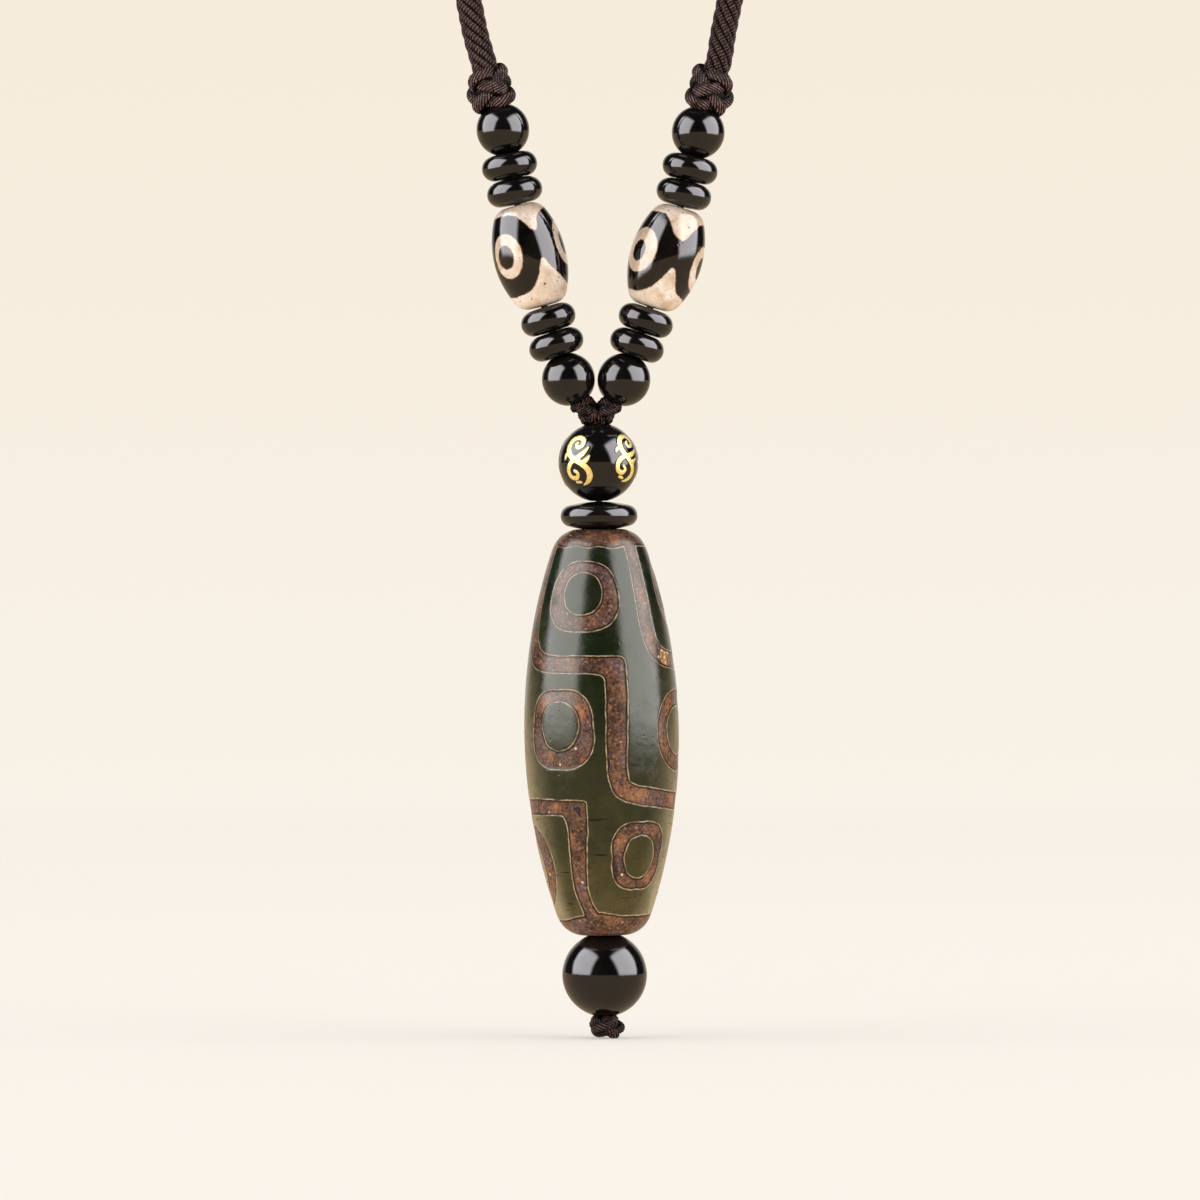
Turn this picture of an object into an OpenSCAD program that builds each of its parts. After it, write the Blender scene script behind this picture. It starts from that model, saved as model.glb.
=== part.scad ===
// Dzi bead necklace, worn shape: a laid neck cord, two side strands of beads and one pendant string.
// Millimetres, +Z up, the front faces -Y. The origin is the spot at the nape where the neck cord rests.

/* [Neck cord] */
// Diameter of the laid neck cord
neck_cord_d = 3.8; // [3.2:0.1:4.4]

/* [Thread and bores] */
// Diameter of the thread that the beads are strung on
thread_d = 1; // [0.8:0.1:1.2]
// Diameter of the hole drilled through every bead
bore_d = 2; // [1.8:0.1:2.4]
// Gap left between neighbouring pieces
piece_gap = 0.08; // [0.06:0.01:0.15]

/* [Side strands] */
// Diameter of the round beads
round_d = 7.6; // [6.6:0.1:8.6]
// Outer diameter of the disc beads
disc_d = 8; // [7:0.1:9]
// Thickness of the disc beads, whose rim is a full round
disc_t = 3.6; // [3.2:0.1:4.2]
// Length of the small barrel beads
barrel_len = 14.8; // [12.8:0.5:16.8]
// Largest diameter of the small barrel beads
barrel_d = 10.4; // [9.5:0.1:11.5]
// Diameter at which the barrel's side would meet its flat ends
barrel_end_d = 6.2; // [5.8:0.1:7.4]
// Radius of the barrel's shoulders
barrel_shoulder = 1.1; // [0.6:0.1:1.4]
// Gap between the two lowest round beads
foot_gap = 0.15; // [0.1:0.05:0.5]
// Tilt from the vertical at the foot of the left strand, in degrees
left_low_tilt = 20; // [18:0.5:24]
// Tilt from the vertical at the head of the left strand, in degrees
left_high_tilt = 9.5; // [7:0.5:14]
// Tilt from the vertical at the foot of the right strand, in degrees
right_low_tilt = 21.5; // [18:0.5:24]
// Tilt from the vertical at the head of the right strand, in degrees
right_high_tilt = 12; // [7:0.5:14]

/* [Pendant string] */
// Diameter of the round bead under the junction, which carries the gold scrolls
scroll_bead_d = 11.3; // [10:0.1:12.5]
// Outer diameter of the lens-shaped centre disc
centre_disc_d = 11; // [10:0.1:12.5]
// Thickness of the centre disc
centre_disc_t = 4.1; // [3.6:0.1:4.8]
// Radius of the centre disc's rim
centre_disc_rim = 1.2; // [0.8:0.1:1.5]
// Length of the main dzi bead
dzi_len = 58; // [48:1:66]
// Largest diameter of the main dzi bead
dzi_d = 22; // [18:0.5:25]
// Diameter at which the main dzi bead's side would meet its ends
dzi_end_d = 11.4; // [10.5:0.1:13]
// Radius of the main dzi bead's shoulders
dzi_shoulder = 3.2; // [2:0.1:3.4]
// Depth of the dish worn into each end of the main dzi bead
dzi_dish = 0.5; // [0.3:0.05:0.7]
// Diameter of the round bead under the main dzi bead
drop_bead_d = 12.1; // [11:0.1:13]
// Lean of the pendant string from the vertical, in degrees
pendant_lean = 0.7; // [0:0.1:1.5]

/* [Knots] */
// Width of the upper knots
upper_knot_w = 6.6; // [6.2:0.1:7.4]
// Lean of the upper knots from the vertical, in degrees
upper_knot_lean = 16; // [12:0.5:20]
// Width of the small junction knots
junction_knot_w = 3.8; // [3.4:0.1:4]
// Width of the end knot
end_knot_w = 4.7; // [4.3:0.1:5.3]

/* [Hidden] */
// Where the beads hang: the plane in front of the chest, and the height of the upper knots' centres
bead_plane_y = -120;
upper_knot_z = -178;
// The left strand hangs a little wide of the middle, and the pendant string starts between the two
junction_x = -0.5;
pendant_x = -0.2;
// A knot's height and the breadth of its cord, as shares of its width. The small knots are flatter.
upper_height_share = 0.88;
upper_strand_share = 0.25;
small_height_share = 0.72;
small_strand_share = 0.225;
// A knot's cord runs round three times while it waves up and down twice. The pull on the knot has
// flattened the cord, and the weave moves it in and out just enough to pass over itself.
knot_turns = 3;
knot_waves = 2;
knot_flatness = 0.63;
weave_per_thickness = 1.55;
knot_rings = 72;
knot_sides = 8;
// Extra room between neighbours on the bent strand: a disc bead beside its like or a round bead, and
// a disc bead beside the flat end of a barrel
bend_gap = 0.05;
barrel_bend_gap = 0.16;
// The strands meet at a level that the scroll bead rises above, and the junction knots' centres stand over it
scroll_rise = 0.2;
junction_knot_rise = 1.65;
// How deep the threads go into the knots
thread_entry = 0.2;
// The ends of the neck cord stand this far over the upper knots, square to their heads over this length
cord_foot_gap = 0.14;
cord_foot_len = 1.7;
// How far the pendant thread stands out of the scroll bead, under the junction knots
pendant_thread_end = 0.15;

// Right half of the neck cord from the nape round the side of the neck to the front, chosen by hand
neck_route = [
    [0, 2, 0],
    [15, 1, 0],
    [30, -4, -1],
    [43, -13, -4],
    [52, -26, -9],
    [57, -42, -16],
    [58, -59, -26],
    [56, -76, -38],
    [51, -91, -52],
    [45, -103, -68],
    [39, -111, -86],
    [33, -116, -105],
    [27.5, -119, -125],
    [23, -120, -145],
    [19.9, -120, -159],
    [18.6, -120, -165.5],
    [17.7, -120, -170]
];
// Middle of the neck that the cord goes round, which the rings of the cord face away from
neck_middle = [0, -60];
neck_cord_sides = 8;
rings_per_span = 2;

LEFT = 0;
RIGHT = 1;
low_tilt = [left_low_tilt, right_low_tilt];
high_tilt = [left_high_tilt, right_high_tilt];

// A disc bead's rim circle stands this far from its axis
disc_ring_r = (disc_d - disc_t) / 2;
// A round bead sits down into the dimple of the disc bead
seat_pitch = sqrt(pow((round_d + disc_t) / 2 + piece_gap + bend_gap, 2) - pow(disc_ring_r, 2));
disc_pitch = disc_t + piece_gap + bend_gap;
barrel_pitch = (disc_t + barrel_len) / 2 + piece_gap + barrel_bend_gap;
// Stations of the beads along a side strand, from the centre of its lowest round bead
STATION_LOW = 0;
STATION_DISC_4 = STATION_LOW + seat_pitch;
STATION_DISC_3 = STATION_DISC_4 + disc_pitch;
STATION_BARREL = STATION_DISC_3 + barrel_pitch;
STATION_DISC_2 = STATION_BARREL + barrel_pitch;
STATION_DISC_1 = STATION_DISC_2 + disc_pitch;
STATION_TOP = STATION_DISC_1 + seat_pitch;
// The knots' sizes: a loop's radius is that of the middle line of its cord
upper_knot_h = upper_height_share * upper_knot_w;
upper_strand_d = upper_strand_share * upper_knot_w;
junction_knot_h = small_height_share * junction_knot_w;
junction_strand_d = small_strand_share * junction_knot_w;
end_knot_h = small_height_share * end_knot_w;
end_strand_d = small_strand_share * end_knot_w;
function knot_thickness_r(strand_d) = knot_flatness * strand_d / 2;
function knot_waist_r(width, strand_d) = width / 2 - (1 + weave_per_thickness) * knot_thickness_r(strand_d);
// A knot's lowest loop lies round the crown of the bead that the knot is pulled against
function knot_reach(bead_d, width, height, strand_d) =
    sqrt(pow(bead_d / 2 + strand_d / 2 + piece_gap, 2) - pow(knot_waist_r(width, strand_d), 2))
    + (height - strand_d) / 2;
upper_knot_reach = knot_reach(round_d, upper_knot_w, upper_knot_h, upper_strand_d);
junction_knot_reach = knot_reach(round_d, junction_knot_w, junction_knot_h, junction_strand_d);
end_knot_reach = knot_reach(drop_bead_d, end_knot_w, end_knot_h, end_strand_d);

// Each side strand is an arc: its tilt falls evenly from the foot to the head
function tilt_rate(side) = (low_tilt[side] - high_tilt[side]) / STATION_TOP;
function strand_tilt(side, station) = low_tilt[side] - tilt_rate(side) * station;
function strand_radius(side) = 180 / (PI * tilt_rate(side));
function arc_x(side, station) =
    strand_radius(side) * (cos(strand_tilt(side, station)) - cos(low_tilt[side]));
function arc_rise(side, station) =
    strand_radius(side) * (sin(low_tilt[side]) - sin(strand_tilt(side, station)));
// Half the room that the two junction knots or the two lowest round beads need side by side
function knot_half_span(tilt) = junction_knot_w / 2 * cos(tilt) + junction_knot_h / 4 * sin(tilt);
function foot_half_span(side) = max(
    round_d / 2,
    knot_half_span(strand_tilt(side, -junction_knot_reach)) - arc_x(side, -junction_knot_reach)
);
function foot_x(side) =
    foot_half_span(side) + foot_gap / 2 + (side == LEFT ? -junction_x : junction_x);
function foot_rise(side) = junction_knot_rise - arc_rise(side, -junction_knot_reach);
function strand_x(side, station) = foot_x(side) + arc_x(side, station);
function strand_rise(side, station) = foot_rise(side) + arc_rise(side, station);
// Above the top round bead the upper knot leans out from the strand
function knot_x(side, past) = strand_x(side, STATION_TOP) + past * sin(upper_knot_lean);
function knot_rise(side, past) = strand_rise(side, STATION_TOP) + past * cos(upper_knot_lean);
junction_z = upper_knot_z - knot_rise(RIGHT, upper_knot_reach);

// Stations of the pendant string, down from the level at which the strands meet
function arc_sag(radius, half_width) = radius - sqrt(radius * radius - half_width * half_width);
// The centre disc's faces are arcs that run smoothly into its rim
disc_rim_x = centre_disc_d / 2 - centre_disc_rim;
disc_face_r = (pow(disc_rim_x, 2) + pow(centre_disc_t / 2, 2) - pow(centre_disc_rim, 2))
    / (centre_disc_t - 2 * centre_disc_rim);
// The dish in each end of the main dzi bead is cut round the bead below it
dish_r = drop_bead_d / 2 + piece_gap;
dish_mouth_r = sqrt(pow(dish_r, 2) - pow(dish_r - dzi_dish, 2));
SCROLL_STATION = scroll_bead_d / 2 - scroll_rise;
CENTRE_DISC_STATION = SCROLL_STATION + scroll_bead_d / 2 - arc_sag(scroll_bead_d / 2, bore_d / 2)
    + centre_disc_t / 2 - arc_sag(disc_face_r, bore_d / 2) + piece_gap;
DZI_STATION = CENTRE_DISC_STATION + centre_disc_t / 2 - arc_sag(disc_face_r, dish_mouth_r)
    + dzi_len / 2 + piece_gap;
DROP_STATION = DZI_STATION + dzi_len / 2 - dzi_dish + dish_r;
END_KNOT_STATION = DROP_STATION + end_knot_reach;

fine = 96;

// Sweeping a tube along points, each ring facing the way its outward vector points
function unit(v) = v / norm(v);
function square_to(v, tangent) = unit(v - (v * tangent) * tangent);
function ring_at(centre, tangent, outward, thickness_r, breadth_r, sides) =
    let (
        up = square_to(outward, tangent),
        side = cross(tangent, up)
    )
    [
        for (k = [0:sides - 1])
            centre + thickness_r * cos(360 * k / sides) * up + breadth_r * sin(360 * k / sides) * side
    ];
function wall_face(first, next, k, sides) =
    [first + k, next + k, next + (k + 1) % sides, first + (k + 1) % sides];

module swept_tube(points, outward, r, sides) {
    last = len(points) - 1;
    corners = [
        for (i = [0:last])
            each ring_at(points[i], unit(points[min(i + 1, last)] - points[max(i - 1, 0)]), outward[i], r, r, sides)
    ];
    walls = [for (i = [0:last - 1], k = [0:sides - 1]) wall_face(i * sides, (i + 1) * sides, k, sides)];
    foot = [for (k = [0:sides - 1]) k];
    head = [for (k = [sides - 1:-1:0]) last * sides + k];
    polyhedron(points = corners, faces = concat(walls, [foot, head]), convexity = 10);
}

module closed_tube(points, outward, thickness_r, breadth_r, sides) {
    count = len(points);
    corners = [
        for (i = [0:count - 1])
            each ring_at(points[i], unit(points[(i + 1) % count] - points[(i + count - 1) % count]), outward[i],
                thickness_r, breadth_r, sides)
    ];
    walls = [
        for (i = [0:count - 1], k = [0:sides - 1])
            wall_face(i * sides, ((i + 1) % count) * sides, k, sides)
    ];
    polyhedron(points = corners, faces = walls, convexity = 10);
}

// A smooth curve through the route's points, with its rings spread evenly in each span
function curve_point(p, i, t) =
    let (
        a = p[max(i - 1, 0)],
        b = p[i],
        c = p[i + 1],
        d = p[min(i + 2, len(p) - 1)]
    )
    0.5 * (2 * b + (c - a) * t + (2 * a - 5 * b + 4 * c - d) * t * t + (3 * b - a - 3 * c + d) * t * t * t);
function smooth_route(p) = concat(
    [for (i = [0:len(p) - 2], t = [0:rings_per_span - 1]) curve_point(p, i, t / rings_per_span)],
    [p[len(p) - 1]]
);

knot_head_past = upper_knot_reach + upper_knot_h / 2 + cord_foot_gap;
function cord_foot(side, past) =
    [(side == LEFT ? -1 : 1) * knot_x(side, past), bead_plane_y, junction_z + knot_rise(side, past)];
function mirrored(p) = [-p[0], p[1], p[2]];
function neck_cord_points() = smooth_route(concat(
    [cord_foot(LEFT, knot_head_past), cord_foot(LEFT, knot_head_past + cord_foot_len)],
    [for (i = [len(neck_route) - 1:-1:1]) mirrored(neck_route[i])],
    neck_route,
    [cord_foot(RIGHT, knot_head_past + cord_foot_len), cord_foot(RIGHT, knot_head_past)]
));

module neck_cord() {
    points = neck_cord_points();
    outward = [for (p = points) [p[0] - neck_middle[0], p[1] - neck_middle[1], 0]];
    color("#3a2a28") swept_tube(points, outward, neck_cord_d / 2, neck_cord_sides);
}

// Puts a piece of a side strand at its station, its axis along the strand
module on_side(side) {
    translate([0, bead_plane_y, junction_z]) {
        if (side == LEFT) mirror([1, 0, 0]) children();
        else children();
    }
}

module on_strand(side, station) {
    on_side(side)
        translate([strand_x(side, station), 0, strand_rise(side, station)])
        rotate([0, strand_tilt(side, station), 0])
        children();
}

module on_pendant(station) {
    translate([pendant_x, bead_plane_y, junction_z])
        rotate([0, -pendant_lean, 0])
        translate([0, 0, -station])
        children();
}

module round_bead(d) {
    difference() {
        sphere(d = d, $fn = fine);
        cylinder(d = bore_d, h = d + 2, center = true, $fn = 48);
    }
}

// The disc bead is a ring with a full round section, drilled through its middle
module disc_bead() {
    rotate_extrude($fn = fine) difference() {
        translate([disc_ring_r, 0]) circle(d = disc_t, $fn = 48);
        translate([-disc_d, -disc_t]) square([disc_d + bore_d / 2, 2 * disc_t]);
    }
}

// A barrel: an arc for the side, a smaller arc for each shoulder that meets it smoothly, and flat ends
module barrel_profile(length, d, end_d, shoulder) {
    bulge = (d - end_d) / 2;
    side_r = (pow(length / 2, 2) + pow(bulge, 2)) / (2 * bulge);
    side_x = d / 2 - side_r;
    shoulder_z = length / 2 - shoulder;
    shoulder_x = side_x + sqrt(pow(side_r - shoulder, 2) - pow(shoulder_z, 2));
    meet_z = shoulder_z * side_r / (side_r - shoulder);
    translate([0, -length / 2]) square([shoulder_x, length]);
    intersection() {
        translate([side_x, 0]) circle(r = side_r, $fn = 360);
        translate([0, -meet_z]) square([d, 2 * meet_z]);
    }
    for (end = [-1, 1])
        translate([shoulder_x, end * shoulder_z]) circle(r = shoulder, $fn = 64);
}

module barrel_bead() {
    rotate_extrude($fn = fine) difference() {
        barrel_profile(barrel_len, barrel_d, barrel_end_d, barrel_shoulder);
        translate([-1, -barrel_len]) square([1 + bore_d / 2, 2 * barrel_len]);
    }
}

// The thread of a side strand runs along its arc from the junction knot into the upper knot
thread_foot = -junction_knot_reach + junction_knot_h / 2 - thread_entry;
thread_head = STATION_TOP + upper_knot_reach - upper_knot_h / 2 + thread_entry;
thread_spans = 20;
thread_sides = 8;

module side_thread(side) {
    points = [
        for (i = [0:thread_spans])
            let (station = thread_foot + (thread_head - thread_foot) * i / thread_spans)
            [strand_x(side, station), 0, strand_rise(side, station)]
    ];
    color("#33231f") on_side(side)
        swept_tube(points, [for (p = points) [0, -1, 0]], thread_d / 2, thread_sides);
}

module side_round(side, station) {
    color("#0c0c0c") on_strand(side, station) round_bead(round_d);
}

module side_disc(side, station) {
    color("#0c0c0c") on_strand(side, station) disc_bead();
}

module side_barrel(side) {
    color("#d9c6a8") on_strand(side, STATION_BARREL) barrel_bead();
}

// The middle line of a knot's cord: one closed loop
function knot_point(waist_r, rise, weave, phase) =
    let (
        turn = phase * knot_turns / knot_waves,
        out = waist_r + weave * sin(2 * phase)
    )
    [out * cos(turn), out * sin(turn), rise * sin(phase)];

module woven_knot(width, height, strand_d) {
    thickness_r = knot_thickness_r(strand_d);
    waist_r = knot_waist_r(width, strand_d);
    points = [
        for (i = [0:knot_rings - 1])
            knot_point(waist_r, (height - strand_d) / 2, weave_per_thickness * thickness_r,
                360 * knot_waves * i / knot_rings)
    ];
    closed_tube(points, [for (p = points) [p[0], p[1], 0]], thickness_r, strand_d / 2, knot_sides);
}

module upper_knot(side) {
    color("#3f2d2b") on_side(side)
        translate([knot_x(side, upper_knot_reach), 0, knot_rise(side, upper_knot_reach)])
        rotate([0, upper_knot_lean, 0])
        woven_knot(upper_knot_w, upper_knot_h, upper_strand_d);
}

module junction_knot(side) {
    color("#33231f") on_strand(side, -junction_knot_reach)
        woven_knot(junction_knot_w, junction_knot_h, junction_strand_d);
}

// The pendant thread starts just above the scroll bead and ends in the head of the end knot
module pendant_thread() {
    foot = END_KNOT_STATION - end_knot_h / 2 + thread_entry;
    color("#33231f") on_pendant(foot)
        cylinder(d = thread_d, h = foot + scroll_rise + pendant_thread_end, $fn = 32);
}

module scroll_bead() {
    color("#0c0c0c") on_pendant(SCROLL_STATION) round_bead(scroll_bead_d);
}

// A lens with a round rim
module centre_disc() {
    face_z = centre_disc_t / 2 - disc_face_r;
    meet_x = disc_rim_x * disc_face_r / (disc_face_r - centre_disc_rim);
    color("#0c0c0c") on_pendant(CENTRE_DISC_STATION) rotate_extrude($fn = fine) {
        intersection() {
            translate([0, face_z]) circle(r = disc_face_r, $fn = 180);
            translate([0, -face_z]) circle(r = disc_face_r, $fn = 180);
            translate([bore_d / 2, -centre_disc_t]) square([meet_x - bore_d / 2, 2 * centre_disc_t]);
        }
        translate([disc_rim_x, 0]) circle(r = centre_disc_rim, $fn = 48);
    }
}

module main_dzi() {
    color("#3d4330") on_pendant(DZI_STATION) rotate_extrude($fn = fine) difference() {
        barrel_profile(dzi_len, dzi_d, dzi_end_d, dzi_shoulder);
        translate([-1, -dzi_len]) square([1 + bore_d / 2, 2 * dzi_len]);
        for (end = [-1, 1])
            translate([0, end * (dzi_len / 2 - dzi_dish + dish_r)]) circle(r = dish_r, $fn = 96);
    }
}

module drop_bead() {
    color("#0c0c0c") on_pendant(DROP_STATION) round_bead(drop_bead_d);
}

module end_knot() {
    color("#33231f") on_pendant(END_KNOT_STATION)
        woven_knot(end_knot_w, end_knot_h, end_strand_d);
}

neck_cord();
upper_knot(LEFT);  // upper_knot_left
upper_knot(RIGHT);  // upper_knot_right
side_thread(LEFT);  // thread_left
side_thread(RIGHT);  // thread_right
pendant_thread();  // thread_pendant
side_round(LEFT, STATION_TOP);  // round_left_top
side_disc(LEFT, STATION_DISC_1);  // disc_left_1
side_disc(LEFT, STATION_DISC_2);  // disc_left_2
side_barrel(LEFT);  // barrel_left
side_disc(LEFT, STATION_DISC_3);  // disc_left_3
side_disc(LEFT, STATION_DISC_4);  // disc_left_4
side_round(LEFT, STATION_LOW);  // round_left_low
side_round(RIGHT, STATION_TOP);  // round_right_top
side_disc(RIGHT, STATION_DISC_1);  // disc_right_1
side_disc(RIGHT, STATION_DISC_2);  // disc_right_2
side_barrel(RIGHT);  // barrel_right
side_disc(RIGHT, STATION_DISC_3);  // disc_right_3
side_disc(RIGHT, STATION_DISC_4);  // disc_right_4
side_round(RIGHT, STATION_LOW);  // round_right_low
junction_knot(LEFT);  // junction_knot_left
junction_knot(RIGHT);  // junction_knot_right
scroll_bead();
centre_disc();
main_dzi();
drop_bead();
end_knot();
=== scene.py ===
import bpy
import math
import numpy as np
from mathutils import Matrix, Vector


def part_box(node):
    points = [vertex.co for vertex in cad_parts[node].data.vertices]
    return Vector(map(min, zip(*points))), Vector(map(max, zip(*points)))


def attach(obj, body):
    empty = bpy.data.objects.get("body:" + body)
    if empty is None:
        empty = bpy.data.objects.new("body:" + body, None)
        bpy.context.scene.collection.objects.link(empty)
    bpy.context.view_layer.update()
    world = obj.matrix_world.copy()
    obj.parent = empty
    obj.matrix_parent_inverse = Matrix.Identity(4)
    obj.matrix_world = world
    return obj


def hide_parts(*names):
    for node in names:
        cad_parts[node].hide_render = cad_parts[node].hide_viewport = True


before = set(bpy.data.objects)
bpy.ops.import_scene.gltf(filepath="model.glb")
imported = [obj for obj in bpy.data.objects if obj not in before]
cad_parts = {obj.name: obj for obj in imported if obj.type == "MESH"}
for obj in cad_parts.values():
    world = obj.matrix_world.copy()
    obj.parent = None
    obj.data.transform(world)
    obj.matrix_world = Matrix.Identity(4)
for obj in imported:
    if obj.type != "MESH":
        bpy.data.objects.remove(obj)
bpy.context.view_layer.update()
mm = 0.001
scene = bpy.context.scene


# camera, level with the dzi bead and straight in front, as in the photograph
camera = {"place": (0.0001, -1.32, -0.2509), "lens": 252.0, "sensor": 36.0}
bpy.ops.object.camera_add(location=camera["place"], rotation=(math.radians(90), 0, 0))
scene.camera = bpy.context.object
scene.camera.name = "frontCamera"
scene.camera.data.lens = camera["lens"]
scene.camera.data.sensor_width = camera["sensor"]
scene.camera.data.clip_start = 0.05
scene.view_settings.view_transform = "Standard"
print("camera placed")


# settings that many nodes share. By number, Map Range takes its value, the span it comes from and the
# span it goes to, and a colour Mix takes its share (0) and its two colours (6 and 7)
smooth = {"interpolation_type": "SMOOTHSTEP"}
blend = {"data_type": "RGBA"}
times = {"operation": "MULTIPLY"}
plus = {"operation": "ADD"}
waveUnit = 0.31416  # the scale at which a wave texture gives one band to each unit


def linear(code):
    values = [int(code[i:i + 2], 16) / 255 for i in (1, 3, 5)]
    return tuple(v / 12.92 if v <= 0.04045 else ((v + 0.055) / 1.055) ** 2.4 for v in values) + (1.0,)


def addNode(tree, kind, inputs=None, output=0, stops=None, **settings):
    # inputs are constants or other nodes' outputs; an output of None gives back the node itself
    node = tree.nodes.new("ShaderNode" + kind)
    for key, value in settings.items():
        setattr(node, key, value)
    for key, value in (inputs or {}).items():
        if isinstance(value, bpy.types.NodeSocket):
            tree.links.new(value, node.inputs[key])
        else:
            node.inputs[key].default_value = value
    if stops:
        ramp = node.color_ramp.elements
        while len(ramp) < len(stops):
            ramp.new(0.5)
        for element, (place, code) in zip(ramp, stops):
            element.position = place
            element.color = linear(code)
    return node if output is None else node.outputs[output]


def whereAll(tree, *patterns):
    # 1 where every pattern has gone from its first value to its second: (pattern, first, second)
    share = None
    for source, first, second in patterns:
        step = addNode(tree, "MapRange", {0: source, 1: first, 2: second}, **smooth)
        share = step if share is None else addNode(tree, "Math", {0: share, 1: step}, **times)
    return share


def paint(tree, under, over, *patterns):
    # lays one colour over another where all the patterns meet; a colour is a code, a value or an output
    under, over = (linear(colour) if isinstance(colour, str) else colour for colour in (under, over))
    return addNode(tree, "Mix", {0: whereAll(tree, *patterns), 6: under, 7: over}, 2, **blend)


def newMaterial(name, grains=None):
    # grains are the noises of the surface: size in mm, detail and roughness
    material = bpy.data.materials.new(name)
    material.use_nodes = True
    tree = material.node_tree
    tree.nodes.clear()
    place = addNode(tree, "TexCoord", output="Object")
    noise = {key: addNode(tree, "TexNoise", {"Vector": place, "Scale": 1 / (size * mm), "Detail": detail,
                                             "Roughness": roughness})
             for key, (size, detail, roughness) in (grains or {}).items()}
    return material, tree, place, noise


def pick(piece):
    bpy.ops.object.select_all(action="DESELECT")
    piece.select_set(True)
    bpy.context.view_layer.objects.active = piece


def setAttribute(piece, name, values):
    attribute = piece.data.attributes.new(name, "FLOAT", "POINT")
    attribute.data.foreach_set("value", values.astype(np.float32))


def smoothLine(points, spacing, closed=False):
    # Catmull-Rom through the points, then spread evenly along its length
    points = np.array(points, float)
    count = len(points)
    fine = []
    for i in range(count if closed else count - 1):
        if closed:
            a, b, c, d = (points[(i + j) % count] for j in (-1, 0, 1, 2))
        else:
            a, b, c, d = points[max(i - 1, 0)], points[i], points[i + 1], points[min(i + 2, count - 1)]
        for t in np.linspace(0, 1, 32, endpoint=False):
            fine.append(0.5 * (2 * b + (c - a) * t + (2 * a - 5 * b + 4 * c - d) * t ** 2
                               + (3 * b - a - 3 * c + d) * t ** 3))
    fine.append(points[0] if closed else points[-1])
    fine = np.array(fine)
    along = np.r_[0, np.cumsum(np.linalg.norm(np.diff(fine[:, :3], axis=0), axis=1))]
    steps = max(8, int(round(along[-1] / spacing)))
    where = np.linspace(0, along[-1], steps + 1)
    if closed:
        where = where[:-1]
    return np.stack([np.interp(where, along, fine[:, j]) for j in range(fine.shape[1])], axis=1), along[-1]


def unitRows(v):
    return v / np.linalg.norm(v, axis=1, keepdims=True)


def framesAlong(path, outward, closed):
    # outward and sideways at each point of a path, square to it
    if closed:
        tangent = unitRows(np.roll(path, -1, 0) - np.roll(path, 1, 0))
    else:
        tangent = unitRows(np.gradient(path, axis=0))
    up = unitRows(outward - (outward * tangent).sum(1, keepdims=True) * tangent)
    return up, np.cross(tangent, up)


# floor, lights and world
studio = {
    "floorLevel": -0.3135, "floorRadius": 1.6, "fade": (0.55, 1.45),
    "paper": (0.66, 0.63, 0.585, 1), "lightTable": (0.272, 0.279, 0.276, 1),
    "boxAzimuth": 68, "boxElevation": 27, "boxDistance": 0.95, "boxWidth": 1.42, "boxHeight": 1.36,
    "boxColour": (0.99, 0.965, 1.0), "boxFade": ((0.0, 0.18), (1.0, 0.82)),
    "aim": Vector((0, -0.12, -0.25)),
    # each softbox is a pair of lamps: what polished stone mirrors, and what lights matte things
    "lamps": {"Mirrored": (7.2, False, True), "Scattered": (2.2, True, False)},
    "ambient": (0.80, 0.76, 0.71, 1), "fromBelow": (1.30, 1.20, 1.10, 1),
    "belowMirrored": (0.66, 0.48, 0.30, 1), "aboveMirrored": (0.014, 0.014, 0.014, 1),
    "behindMirrored": (0.86, 0.80, 0.72, 1), "behind": (0.62, 0.95), "low": (0.80, 0.35),
    "horizon": (-0.012, 0.004), "backdrop": ("#f8f2e8", "#f7ecdc"), "backdropRise": (-0.05, 0.08),
    "floorScattered": (1.50, 1.40, 1.28, 1), "floorMirrored": (0.65, 0.49, 0.33, 1),
}


def softenLamp(data):
    # brightest in the middle and fading towards the frame, as cloth in front of a lamp does
    data.use_nodes = True
    tree = data.node_tree
    spot = addNode(tree, "NewGeometry", output="Parametric")
    axes = addNode(tree, "SeparateXYZ", {0: spot}, None)
    share = whereAll(tree, *((axes.outputs[axis], *span) for axis in ("X", "Y") for span in studio["boxFade"]))
    glow = next(node for node in tree.nodes if node.type == "EMISSION")
    tree.links.new(share, glow.inputs["Strength"])


def buildFloor():
    bpy.ops.mesh.primitive_circle_add(vertices=160, radius=studio["floorRadius"], fill_type="NGON",
                                      location=(0, -0.12, studio["floorLevel"]))
    floor = bpy.context.object
    floor.name = "paleFloor"
    # even pale cream, no gloss, fades into the backdrop; a light table under the paper keeps it bright
    material, tree, place, _ = newMaterial("mattePaperSweep")
    reach = addNode(tree, "VectorMath", {0: place}, "Value", operation="LENGTH")
    gone = whereAll(tree, (reach, *studio["fade"]))
    paper = addNode(tree, "BsdfDiffuse", {"Color": studio["paper"]})
    shine = addNode(tree, "Emission", {"Color": studio["lightTable"]})
    lit = addNode(tree, "AddShader", {0: paper, 1: shine})
    path = addNode(tree, "LightPath", output=None)
    tone = addNode(tree, "Mix", {0: path.outputs["Is Glossy Ray"], 6: studio["floorScattered"],
                                 7: studio["floorMirrored"]}, 2, **blend)
    plain = addNode(tree, "Emission", {"Color": tone})
    table = addNode(tree, "MixShader", {0: path.outputs["Is Camera Ray"], 1: plain, 2: lit})
    clear = addNode(tree, "BsdfTransparent")
    faded = addNode(tree, "MixShader", {0: gone, 1: table, 2: clear})
    addNode(tree, "OutputMaterial", {"Surface": faded}, None)
    floor.data.materials.append(material)


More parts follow.
